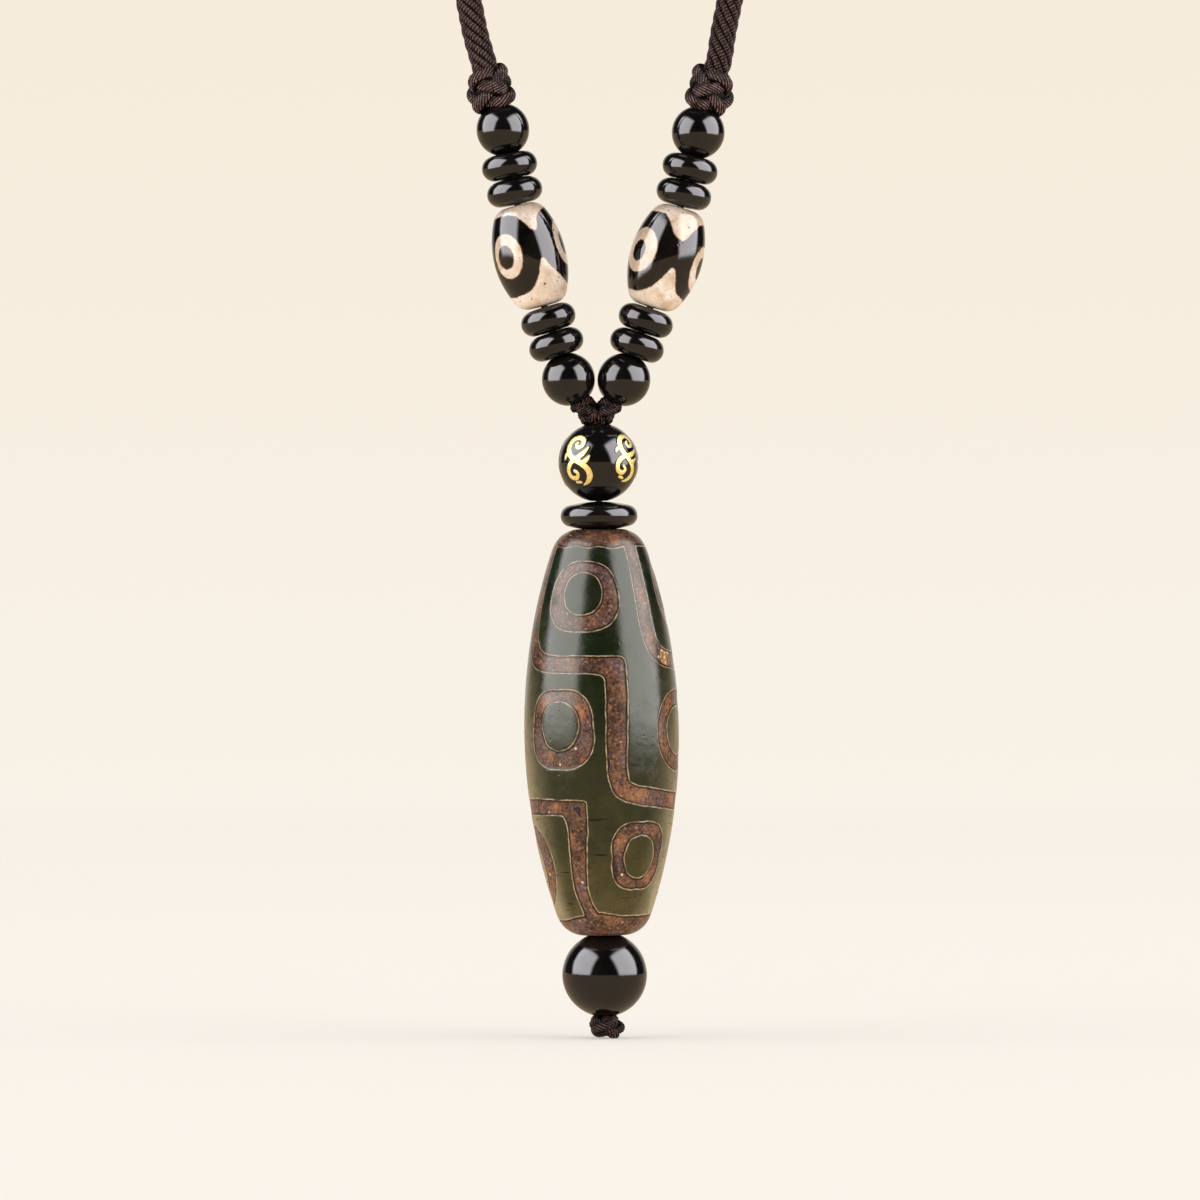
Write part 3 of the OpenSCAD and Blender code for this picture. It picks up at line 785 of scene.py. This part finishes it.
# patterns on beads: signed distances in mm, worked out in the bead's own frame
patternSpacing = 0.16  # mm between the samples of a stroke


def onBead(angle, height, radiusAt):
    # angle in degrees from the front, rising to the right
    radius = radiusAt(height)
    return np.stack([radius * np.sin(np.radians(angle)), -radius * np.cos(np.radians(angle)), height], -1)


def strokeSamples(table, width, radiusAt):
    # table rows: angle, height and, where it isn't the usual one, half width
    rows = np.array([(row[0], row[1], row[2] if len(row) > 2 else width) for row in table], float)
    points = np.concatenate([onBead(rows[:, 0], rows[:, 1], radiusAt), rows[:, 2:3], rows[:, :2]], axis=1)
    line, _ = smoothLine(points, patternSpacing)
    return np.concatenate([onBead(line[:, 4], line[:, 5], radiusAt), line[:, 3:4]], axis=1)


def ringSamples(eye, radiusAt):
    # the ring between an outer and an inner rounded outline
    turn = np.linspace(0, 2 * math.pi, 1440, endpoint=False)
    cosine, sine = np.cos(turn), np.sin(turn)
    outer, inner = (np.stack([angle + halfAngle * np.sign(cosine) * np.abs(cosine) ** (2 / square),
                              height + halfHeight * np.sign(sine) * np.abs(sine) ** (2 / square)], 1)
                    for angle, height, halfAngle, halfHeight, square in (eye["outer"], eye["inner"]))
    outer3, inner3 = onBead(outer[:, 0], outer[:, 1], radiusAt), onBead(inner[:, 0], inner[:, 1], radiusAt)
    middle = (outer + inner) / 2
    ring = np.concatenate([onBead(middle[:, 0], middle[:, 1], radiusAt),
                           np.linalg.norm(outer3 - inner3, axis=1, keepdims=True) / 2], axis=1)
    along = np.r_[0, np.cumsum(np.linalg.norm(np.diff(ring[:, :3], axis=0), axis=1))]
    return ring[np.searchsorted(along, np.arange(0, along[-1], patternSpacing))]


def depthInside(points, samples):
    # how deep each point is inside the strokes: below zero outside them
    best = np.full(len(points), -99.0)
    batch = 4000  # points at a time, to spare memory
    for start in range(0, len(points), batch):
        part = points[start:start + batch]
        gap = np.sqrt(np.maximum((part ** 2).sum(1)[:, None] + (samples[:, :3] ** 2).sum(1)[None, :]
                                 - 2 * part @ samples[:, :3].T, 0))
        best[start:start + batch] = (samples[:, 3][None, :] - gap).max(1)
    return best


def edgeAt(table, angles):
    # a boundary's height all round the bead, from rows of angle and height
    rows = np.array(sorted(table), float)
    around = np.concatenate([rows[-1:] - [[360, 0]], rows, rows[:1] + [[360, 0]]])
    return np.interp((angles + 180) % 360 - 180, around[:, 0], around[:, 1])


def anglesOf(points):
    return np.degrees(np.arctan2(points[:, 0], -points[:, 1]))


def barrelRadiusAt(size):
    radius, sideX, *_ = barrelSide(size)
    return lambda z: sideX + np.sqrt(radius ** 2 - np.clip(z, -radius, radius) ** 2)


# the large dzi bead
mainDzi = {
    "size": {"length": 58.0, "diameter": 22.0, "endDiameter": 11.4, "shoulder": 4.0, "shoulderCount": 26,
             "dish": 0.5, "dishRadius": 6.13, "boreCount": 26},
    "sideCount": 214, "steps": 264, "unevenness": 0.12,
    "bandHalf": 1.45, "bandSink": 0.05,
    # painted light: from glowTop down to glowFoot the green ground is painted olive, as if warm light from
    # below shone through the stone
    "glowTop": -250, "glowFoot": -300,  # mm, where the green turns to olive
    "fleck": {"angle": 63, "height": 10.7, "radius": 1.75},
    "topEdge": [(-150, 26.3), (-120, 26.6), (-90, 26.2), (-65, 26.6), (-48, 26.25), (-30, 26.55), (-14, 26.2),
                (0, 26.4), (14, 26.05), (28, 26.4), (60, 26.5), (95, 26.2), (130, 26.5), (165, 26.2)],
    "bottomEdge": [(-150, -26.0), (-115, -26.3), (-85, -26.6), (-55, -26.6), (-35, -26.1), (-3, -25.5),
                   (22, -26.0), (50, -26.0), (74, -25.9), (110, -25.6), (145, -26.2), (180, -25.9)],
    "bands": [
        # from the top cap down the left side, across, down the middle and round to the right
        [(-77, 28.5, 1.3), (-78, 25), (-76.5, 20.5), (-75, 16.5), (-71.5, 13.2), (-62, 10.9),
         (-48, 9.95, 1.35), (-30, 9.75, 1.3), (-14, 9.7, 1.33), (-1.8, 9.6, 1.38), (3.4, 9.4, 1.45),
         (7.8, 8.85, 1.52), (10.7, 8.0, 1.6), (11.7, 6.6, 1.66), (11.6, 1.7, 1.66), (11.2, -2.6, 1.58),
         (12.0, -5.8, 1.5), (16, -7.9, 1.45), (27, -8.8, 1.4), (40, -9.2, 1.4), (55, -9.5, 1.35),
         (70, -9.8, 1.35), (88, -10.0, 1.35), (99, -10.6), (105.5, -13.2), (107, -17), (107, -21),
         (103, -24.3, 1.3), (98, -27.5, 1.3)],
        # from the top cap down the right front, round the back and down the left front to the bottom cap
        [(41, 28.5, 1.3), (42, 25, 1.1), (42.5, 19, 1.3), (43.5, 15.2, 1.35), (47.5, 12.3, 1.4),
         (57, 10.8, 1.4), (71, 10.3, 1.35), (95, 10.0), (115, 9.8), (126, 8.9), (131, 6), (131.5, 1.5),
         (131, -3), (132.5, -7), (138, -9.4), (150, -10.2), (175, -10.4), (205, -10.1), (240, -10.4),
         (276, -10.5, 1.3), (305, -10.5, 1.2), (324, -10.6, 1.2), (331, -11.0, 1.25), (335.8, -12.3, 1.38),
         (338.2, -14.4, 1.46), (337.2, -17, 1.4), (336.3, -19.5, 1.28), (336.4, -22, 1.14),
         (340, -24.3, 1.0), (347, -26.5, 1.2)],
        # the square outer corners of both
        [(1, 9.85, 1.18), (13.7, 9.75, 1.18)], [(13.7, 9.75, 1.18), (14.1, 5, 1.18)],
        [(326, -10.1, 0.7), (344.2, -10.15, 0.7)], [(344.2, -10.15, 0.7), (343.6, -14.4, 0.7)],
    ],
    "eyes": [  # angle, height, half angle, half height and squareness of the outer and the inner outline
        {"outer": (-17, 19.35, 35, 5.05, 2.5), "inner": (-17.2, 19.8, 19, 3.0, 2.1)},
        {"outer": (-33.5, 0.5, 27.4, 5.7, 2.9), "inner": (-33.6, 1.05, 16.5, 3.45, 2.1)},
        {"outer": (75.5, 0.2, 30, 5.9, 2.1), "inner": (75.5, 0.2, 18, 3.4, 2.1)},
        {"outer": (-85, -18.9, 33, 5.9, 2.1), "inner": (-85, -19.0, 13, 3.6, 2.0)},
        {"outer": (34.8, -17.5, 27.0, 4.85, 3.1), "inner": (35.2, -17.65, 16, 3.0, 2.1)},
        {"outer": (100, 20.0, 33, 5.2, 2.2), "inner": (100, 20.0, 18.5, 3.1, 2.1)},
        {"outer": (194, 19.2, 35, 5.2, 2.2), "inner": (194, 19.4, 19, 3.1, 2.1)},
        {"outer": (208, 0.6, 30, 5.8, 2.2), "inner": (208, 0.8, 17, 3.4, 2.1)},
        {"outer": (176, -18.2, 33, 5.3, 2.3), "inner": (176, -18.3, 18, 3.1, 2.1)},
    ],
    "grains": {"wobble": (1.8, 4.0, 0.55), "clouds": (7.0, 4.0, 0.55), "veins": (2.4, 6.0, 0.65),
               "specks": (0.45, 5.0, 0.7), "mottle": (3.6, 5.0, 0.6), "sand": (0.42, 5.0, 0.7),
               "ragged": (0.7, 4.0, 0.55), "warm": (0.5, 3.0, 0.55), "wear": (1.1, 4.0, 0.55),
               "worn": (1.9, 6.0, 0.7), "swell": (1.2, 3.0, 0.55)},
}


def greenAgateMaterial():
    # etched and dyed agate: dark green glassy ground, rusty grainy bands with a thin cream line on each
    # edge and a dark line inside it
    # painted light: the ground is painted lighter towards the foot and at the rim, and the amber fleck is
    # painted bright
    material, tree, place, noise = newMaterial("polishedGreenDziAgate", mainDzi["grains"])
    depth = addNode(tree, "Attribute", output="Fac", attribute_name="bandDepth")
    wobble = addNode(tree, "MapRange", {0: noise["wobble"], 1: 0.25, 2: 0.75, 3: -0.09, 4: 0.09})
    line = addNode(tree, "Math", {0: depth, 1: wobble}, **plus)

    # painted light: the ground turns from dark green at the top to olive towards the foot, as if warm light
    # from below shone through
    height = addNode(tree, "SeparateXYZ", {0: place}, "Z")
    drop = addNode(tree, "MapRange", {0: height, 1: mainDzi["glowTop"] * mm, 2: mainDzi["glowFoot"] * mm})
    uneven = addNode(tree, "MapRange", {0: noise["clouds"], 1: 0.3, 2: 0.7, 3: -0.16, 4: 0.16})
    glow = addNode(tree, "Math", {0: drop, 1: uneven}, **plus)
    ground = addNode(tree, "ValToRGB", {0: glow}, stops=[
        (0.0, "#121a0b"), (0.30, "#171d0c"), (0.58, "#24260f"), (0.80, "#40391b"), (1.0, "#574a2c")])
    # painted light: a paler rim where the surface turns away, stronger towards the foot, as if light gathered
    # in the see-through stone
    rim = addNode(tree, "LayerWeight", {"Blend": 0.35}, "Facing")
    lit = addNode(tree, "Math", {0: whereAll(tree, (rim, 0.15, 0.60)), 1: drop}, **times)
    veins = addNode(tree, "MapRange", {0: noise["veins"], 1: 0.45, 2: 0.70, 4: 0.45})
    for share, code in ((lit, "#9c8f70"), (veins, "#1d2114")):
        ground = addNode(tree, "Mix", {0: share, 6: ground, 7: linear(code)}, 2, **blend)
    ground = paint(tree, ground, "#11170f", (noise["specks"], 0.54, 0.74))
    flat = addNode(tree, "Mapping", {"Vector": place, "Scale": (0.35, 0.35, 2.6)})
    cracks = addNode(tree, "TexNoise", {"Vector": flat, "Scale": 1 / (1.6 * mm), "Detail": 3.0,
                                        "Roughness": 0.5})
    ground = paint(tree, ground, "#0f0c06", (cracks, 0.66, 0.71))

    band = addNode(tree, "ValToRGB", {0: noise["mottle"]}, stops=[
        (0.32, "#33241b"), (0.45, "#4d3427"), (0.56, "#6f4a34"), (0.70, "#9a6440")])
    aside = addNode(tree, "Mapping", {"Vector": place, "Location": (0.1, 0.2, 0)})
    blush = addNode(tree, "TexNoise", {"Vector": aside, "Scale": 1 / (5.0 * mm), "Detail": 3.0,
                                       "Roughness": 0.5})
    stars = addNode(tree, "TexVoronoi", {"Vector": place, "Scale": 1 / (2.6 * mm), "Randomness": 1.0})
    for code, *pattern in (("#5b4340", blush, 0.48, 0.62),  # greyer mauve stretches
                           ("#1c110d", noise["sand"], 0.50, 0.34), ("#a87e60", noise["sand"], 0.54, 0.70),
                           ("#cdb8a2", stars, 0.10, 0.05)):
        band = paint(tree, band, code, pattern)
    # an amber spot in the right band, its colour partly real and partly painted light, as if warm light shone
    # through it
    fleck = addNode(tree, "Attribute", output="Fac", attribute_name="fleckDepth")
    warm = paint(tree, "#a5713f", "#efcf9d", (noise["warm"], 0.44, 0.58))
    band = paint(tree, band, warm, (fleck, 0.0, 0.75), (noise["ragged"], 0.34, 0.56))

    inside = whereAll(tree, (line, 0.04, 0.14))
    colour = addNode(tree, "Mix", {0: inside, 6: ground, 7: band}, 2, **blend)
    colour = paint(tree, colour, "#1b0f0b", (line, 0.10, 0.18), (line, 0.48, 0.24))
    wear = addNode(tree, "MapRange", {0: noise["wear"], 1: 0.36, 2: 0.60, 3: 0.15})
    creamLine = addNode(tree, "Math", {0: whereAll(tree, (line, -0.07, -0.02), (line, 0.14, 0.07)), 1: wear},
                        **times)
    colour = addNode(tree, "Mix", {0: creamLine, 6: colour, 7: linear("#ae9878")}, 2, **blend)

    worn = addNode(tree, "MapRange", {0: noise["worn"], 1: 0.35, 2: 0.70, 3: 0.11, 4: 0.30})
    rough = addNode(tree, "Math", {0: inside, 1: 0.06, 2: worn}, operation="MULTIPLY_ADD")
    grain = addNode(tree, "Math", {0: noise["sand"], 1: inside}, **times)
    pits = addNode(tree, "TexVoronoi", {"Vector": place, "Scale": 1 / (1.7 * mm), "Randomness": 1.0})
    relief = addNode(tree, "Bump", {"Strength": 0.15, "Distance": 0.12 * mm, "Height": noise["swell"]})
    for strength, distance, height in ((0.22, 0.05, grain), (0.35, 0.05, creamLine),
                                       (0.45, 0.03, whereAll(tree, (pits, 0.05, 0.13)))):
        relief = addNode(tree, "Bump", {"Strength": strength, "Distance": distance * mm, "Height": height,
                                        "Normal": relief})
    shader = addNode(tree, "BsdfPrincipled", {
        "Base Color": colour, "Roughness": rough, "Normal": relief, "IOR": 1.54, "Specular IOR Level": 0.345,
        "Specular Tint": (0.99, 1.0, 0.90, 1)})
    addNode(tree, "OutputMaterial", {"Surface": shader}, None)
    return material


def buildMainDzi():
    size = mainDzi["size"]
    radiusAt = barrelRadiusAt(size)
    piece = turnBead("greenDziBead", barrelSection(size, mainDzi["sideCount"]), mainDzi["steps"])
    points = meshPoints(piece)
    samples = [strokeSamples(band, mainDzi["bandHalf"], radiusAt) for band in mainDzi["bands"]]
    samples += [ringSamples(eye, radiusAt) for eye in mainDzi["eyes"]]
    depth = depthInside(points, np.concatenate(samples))
    angles = anglesOf(points)
    depth = np.maximum(depth, points[:, 2] - edgeAt(mainDzi["topEdge"], angles))
    depth = np.maximum(depth, edgeAt(mainDzi["bottomEdge"], angles) - points[:, 2])
    setAttribute(piece, "bandDepth", depth)
    fleck = mainDzi["fleck"]
    fromFleck = np.linalg.norm(points - onBead(fleck["angle"], fleck["height"], radiusAt), axis=1)
    setAttribute(piece, "fleckDepth", fleck["radius"] - fromFleck)
    # the etched bands lie a little lower than the polished ground, outside the bore
    radial = np.hypot(points[:, 0], points[:, 1])
    sink = mainDzi["bandSink"] * np.clip(depth / 0.25, 0, 1) * (radial > 4)
    points[:, :2] *= (1 - sink / np.maximum(radial, 1))[:, None]
    setMeshPoints(piece, points)
    agateWorn(piece, 81, mainDzi["unevenness"])
    seatPiece(piece, middleOf("main_dzi"), strand["pendantLean"])
    handOver(piece, "main_dzi", greenAgateMaterial())
    print("large dzi bead turned and etched")


buildMainDzi()


# the small barrel dzi beads
barrels = {
    "size": {"length": 14.8, "diameter": 10.4, "endDiameter": 6.2, "shoulder": 2.2, "shoulderCount": 18,
             "boreCount": 12},
    "sideCount": 96, "steps": 176, "borderSpacing": 0.15, "unevenness": 0.07,
    "left": {
        "top": [(-95, 6.25), (-50, 6.3), (-24, 6.2), (-10, 5.8), (0, 5.1), (8, 4.2), (14, 3.45), (19, 3.15),
                (24, 3.35), (28, 4.1), (35, 5.2), (54, 5.9), (80, 6.2), (108, 5.9), (125, 4.6), (141, 3.3),
                (155, 4.6), (172, 6.0)],
        "bottom": [(-95, -5.0), (-58, -5.3), (-30, -5.2), (-14, -4.9), (-1, -4.0), (7, -2.9), (12, -1.7),
                   (16.5, -0.95), (21, -0.85), (26, -1.6), (35, -2.7), (64, -4.6), (95, -5.2), (125, -3.6),
                   (141, -1.2), (152, -3.2), (178, -5.2)],
        "eyes": [{"outer": (-39.5, 0.6, 28.5, 3.25, 2.1), "inner": (-42, 0.5, 15.5, 1.7, 2.1)},
                 {"outer": (80, 0.8, 30, 3.3, 2.1), "inner": (80, 0.7, 15, 1.75, 2.1)},
                 {"outer": (201, 0.5, 29, 3.2, 2.1), "inner": (201, 0.4, 15, 1.7, 2.1)}],
    },
    "right": {
        "top": [(-110, 5.7), (-55, 5.8), (-35, 5.85), (-25, 5.7), (-12, 4.9), (-4, 4.0), (3, 3.3), (12, 2.8),
                (20, 2.75), (26, 3.2), (35, 4.2), (47, 5.05), (56, 5.6), (90, 5.9), (112, 5.2), (133, 3.1),
                (150, 4.6), (175, 5.8)],
        "bottom": [(-105, -5.4), (-75, -5.7), (-40, -5.75), (-16, -5.0), (-3, -3.9), (6, -2.6), (11, -1.7),
                   (15.5, -1.35), (20, -1.5), (25, -2.4), (31, -3.6), (41, -4.6), (65, -5.1), (95, -5.4),
                   (118, -4.2), (133, -1.4), (148, -3.4), (172, -5.3)],
        "eyes": [{"outer": (-50, 0.0, 33, 3.3, 2.1), "inner": (-51, -0.2, 13.5, 1.5, 2.1)},
                 {"outer": (78, -0.3, 30, 3.3, 2.1), "inner": (78, -0.2, 14, 1.6, 2.1)},
                 {"outer": (190, 0.2, 31, 3.2, 2.1), "inner": (190, 0.1, 14, 1.6, 2.1)}],
    },
    "grains": {"wobble": (0.6, 4.0, 0.55), "cream": (2.6, 5.0, 0.6), "fine": (0.45, 5.0, 0.7),
               "stain": (3.2, 4.0, 0.6), "freckles": (0.4, 5.0, 0.7), "crowds": (2.6, 3.0, 0.55),
               "clouds": (1.8, 4.0, 0.55), "swell": (1.0, 3.0, 0.55)},
}


def bandedAgateMaterial():
    # bleached and dyed agate: black zone between cream ends, a thin brown bleed where they meet,
    # small iron-stained pits in the cream
    material, tree, place, noise = newMaterial("polishedBandedAgate", barrels["grains"])
    depth = addNode(tree, "Attribute", output="Fac", attribute_name="creamDepth")
    wobble = addNode(tree, "MapRange", {0: noise["wobble"], 1: 0.25, 2: 0.75, 3: -0.08, 4: 0.08})
    line = addNode(tree, "Math", {0: depth, 1: wobble}, **plus)
    cream = addNode(tree, "ValToRGB", {0: noise["cream"]}, stops=[
        (0.32, "#c4ad96"), (0.50, "#d8c4b0"), (0.68, "#eae0d7")])
    cream = paint(tree, cream, "#a98b6f", (noise["fine"], 0.53, 0.74))
    cream = paint(tree, cream, "#c2a384", (noise["stain"], 0.54, 0.72))
    cream = paint(tree, cream, "#a27c5c", (noise["freckles"], 0.52, 0.68), (noise["crowds"], 0.50, 0.66))
    pits = addNode(tree, "TexVoronoi", {"Vector": place, "Scale": 1 / (0.95 * mm), "Randomness": 1.0})
    spots = whereAll(tree, (pits, 0.24, 0.12), (noise["clouds"], 0.50, 0.58))
    cream = addNode(tree, "Mix", {0: spots, 6: cream, 7: linear("#5b3a28")}, 2, **blend)
    dark = addNode(tree, "ValToRGB", {0: noise["clouds"]}, stops=[(0.35, "#060505"), (0.75, "#14100e")])
    rust = paint(tree, dark, "#54392a", (line, -0.18, 0.04))
    colour = paint(tree, rust, cream, (line, -0.05, 0.17))
    rough = addNode(tree, "MapRange", {0: whereAll(tree, (line, 0.0, 0.1)), 3: 0.06, 4: 0.17})
    swell = addNode(tree, "Bump", {"Strength": 0.12, "Distance": 0.08 * mm, "Height": noise["swell"]})
    sunk = addNode(tree, "Bump", {"Strength": 0.4, "Distance": 0.04 * mm, "Height": spots, "Normal": swell},
                   invert=True)
    shader = addNode(tree, "BsdfPrincipled", {"Base Color": colour, "Roughness": rough, "Normal": sunk,
                                              "IOR": 1.57})
    addNode(tree, "OutputMaterial", {"Surface": shader}, None)
    return material


def buildBarrels():
    size = barrels["size"]
    radiusAt = barrelRadiusAt(size)
    blank = turnBead("barrelPattern", barrelSection(size, barrels["sideCount"]), barrels["steps"])
    stone = bandedAgateMaterial()
    turn = np.arange(-180, 180, 2.0)
    for index, side in enumerate(("left", "right")):
        art = barrels[side]
        piece = copyBead(blank, f"bandedBarrelBead.{side}")
        points = meshPoints(piece)
        angles = anglesOf(points)
        cream = np.full(len(points), -99.0)
        for key, sign in (("top", 1), ("bottom", -1)):
            bend = smoothLine(sorted(art[key]), 1.0)[0].tolist()  # rounds the zigzag's corners a little
            border = onBead(turn, edgeAt(bend, turn), radiusAt)
            border, _ = smoothLine(border, barrels["borderSpacing"], closed=True)
            gap = -depthInside(points, np.c_[border, np.zeros(len(border))])
            beyond = sign * (points[:, 2] - edgeAt(bend, angles)) > 0
            cream = np.maximum(cream, np.where(beyond, gap, -gap))
        rings = np.concatenate([ringSamples(eye, radiusAt) for eye in art["eyes"]])
        cream = np.maximum(cream, depthInside(points, rings))
        setAttribute(piece, "creamDepth", cream)
        agateWorn(piece, 61 + index, barrels["unevenness"])
        station = strand["stations"]["barrel_{}"]
        seatPiece(piece, middleOf(f"barrel_{side}"), strandLean(side, station))
        handOver(piece, f"barrel_{side}", stone)
    bpy.data.objects.remove(blank)
    print("small barrel beads turned and dyed")


buildBarrels()


# the black bead with gold scrolls
scrollBead = {
    "diameter": 11.3, "count": 168, "steps": 312, "relief": 0.07, "boldness": 1.55, "spacing": 0.06,
    # angle round the bead, height in degrees, turn in degrees and size of each scroll
    "places": [(-33, 2.5, -10, 1.0), (49, 6.0, 8, 0.95), (113, 2, -8, 1.0), (185, 4, 8, 0.95),
               (257, 2, -8, 1.0)],
    # one scroll: strokes of (right, up, half width) in mm
    "strokes": [
        [(-0.1, -3.75, 0.10), (0.75, -3.35, 0.22), (1.4, -2.5, 0.30), (1.35, -1.5, 0.30), (0.6, -0.6, 0.28),
         (-0.4, 0.2, 0.28), (-1.2, 1.1, 0.30), (-1.35, 2.2, 0.30), (-0.75, 3.2, 0.28), (0.35, 3.5, 0.26),
         (1.15, 2.95, 0.24), (1.1, 2.1, 0.22), (0.4, 1.8, 0.20), (0.0, 2.25, 0.18), (0.25, 2.6, 0.14)],
        [(-0.4, 0.2, 0.22), (-1.3, -0.35, 0.26), (-1.85, -1.2, 0.26), (-1.6, -2.2, 0.24), (-0.75, -2.5, 0.22),
         (-0.3, -1.9, 0.18), (-0.75, -1.45, 0.15)],
        [(-0.4, 0.2, 0.20), (0.55, 0.45, 0.26), (1.4, 0.95, 0.20), (2.0, 1.6, 0.08)],
        [(0.6, -0.6, 0.18), (1.4, -0.35, 0.22), (2.05, 0.2, 0.08)],
        [(-1.25, 1.5, 0.18), (-1.95, 1.1, 0.20), (-2.3, 0.5, 0.08)],
        [(-1.0, -3.1, 0.16), (-0.35, -3.25, 0.16)],
    ],
}


def goldOnBlackMaterial():
    # black agate with raised gilding: bright warm metal, slightly grainy, darker at its foot
    material, tree, _, noise = newMaterial("giltBlackAgate", {"haze": (0.8, 5.0, 0.5),
                                                              "grain": (0.25, 4.0, 0.6)})
    grain = noise["grain"]
    depth = addNode(tree, "Attribute", output="Fac", attribute_name="giltDepth")
    stoneRough = addNode(tree, "MapRange", {0: noise["haze"], 1: 0.35, 2: 0.75, 3: 0.04, 4: 0.13})
    stone = addNode(tree, "BsdfPrincipled", {"Base Color": linear("#0b0909"), "Roughness": stoneRough,
                                             "IOR": 1.57})
    tint = addNode(tree, "ValToRGB", {0: grain}, stops=[(0.3, "#dcb04c"), (0.7, "#fdf0a6")])
    tint = paint(tree, tint, "#4a2d12", (depth, 0.10, 0.0))
    bumps = addNode(tree, "Bump", {"Strength": 0.35, "Distance": 0.04 * mm, "Height": grain})
    gilt = addNode(tree, "BsdfPrincipled", {"Base Color": tint, "Metallic": 0.6, "Roughness": 0.36,
                                            "Normal": bumps})
    both = addNode(tree, "MixShader", {0: whereAll(tree, (depth, -0.02, 0.02)), 1: stone, 2: gilt})
    addNode(tree, "OutputMaterial", {"Surface": both}, None)
    return material


def buildScrollBead():
    radius = scrollBead["diameter"] / 2
    piece = turnBead("giltScrollBead", ballSection(scrollBead["diameter"], scrollBead["count"]),
                     scrollBead["steps"])
    samples = []
    for azimuth, rise, turn, size in scrollBead["places"]:
        cosine, sine = math.cos(math.radians(turn)), math.sin(math.radians(turn))
        bold = size * scrollBead["boldness"]
        for stroke in scrollBead["strokes"]:
            line, _ = smoothLine([(x * size, y * size, 0, w * bold) for x, y, w in stroke],
                                 scrollBead["spacing"])
            x = line[:, 0] * cosine + line[:, 1] * sine
            y = -line[:, 0] * sine + line[:, 1] * cosine
            latitude = np.degrees(y / radius) + rise
            longitude = azimuth + np.degrees(x / radius) / np.cos(np.radians(latitude))
            level = radius * np.cos(np.radians(latitude))
            samples.append(np.stack([level * np.sin(np.radians(longitude)),
                                     -level * np.cos(np.radians(longitude)),
                                     radius * np.sin(np.radians(latitude)), line[:, 3]], 1))
    points = meshPoints(piece)
    depth = depthInside(points, np.concatenate(samples))
    setAttribute(piece, "giltDepth", depth)
    lift = scrollBead["relief"] * np.clip(depth / 0.14 + 0.3, 0, 1) ** 0.6  # a rounded edge to the gilding
    lift = np.where(np.linalg.norm(points, axis=1) > radius - 0.01, lift, 0)  # none in the bore
    points *= (1 + lift / radius)[:, None]
    setMeshPoints(piece, points)
    seatPiece(piece, middleOf("scroll_bead"), strand["pendantLean"])
    handOver(piece, "scroll_bead", goldOnBlackMaterial())
    print("scroll bead turned and gilded")


buildScrollBead()


# the threads that the beads are strung on stay the part's own solids
def threadMaterial():
    # waxed twisted thread, the same brown as the knots, with fine twist lines
    material, tree, place, _ = newMaterial("waxedStringingThread")
    twist = addNode(tree, "TexWave", {"Vector": place, "Scale": waveUnit / (0.4 * mm), "Distortion": 1.0},
                    "Fac", bands_direction="DIAGONAL")
    # painted light and shade: darker in the low part of each twist, lighter on the raised part, following the
    # bump
    colour = addNode(tree, "Mix", {0: twist, 6: linear("#1c1110"), 7: linear("#3f2d2a")}, 2, **blend)
    raised = addNode(tree, "Bump", {"Strength": 0.5, "Distance": 0.08 * mm, "Height": twist})
    shader = addNode(tree, "BsdfPrincipled", {"Base Color": colour, "Roughness": 0.5, "Normal": raised,
                                              "Sheen Weight": 0.2})
    addNode(tree, "OutputMaterial", {"Surface": shader}, None)
    return material


stringing = threadMaterial()
for node in ("thread_left", "thread_right", "thread_pendant"):
    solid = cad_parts[node]
    if not solid.material_slots:
        solid.data.materials.append(stringing)
    for place in solid.material_slots:
        place.material = stringing
print("threads finished")
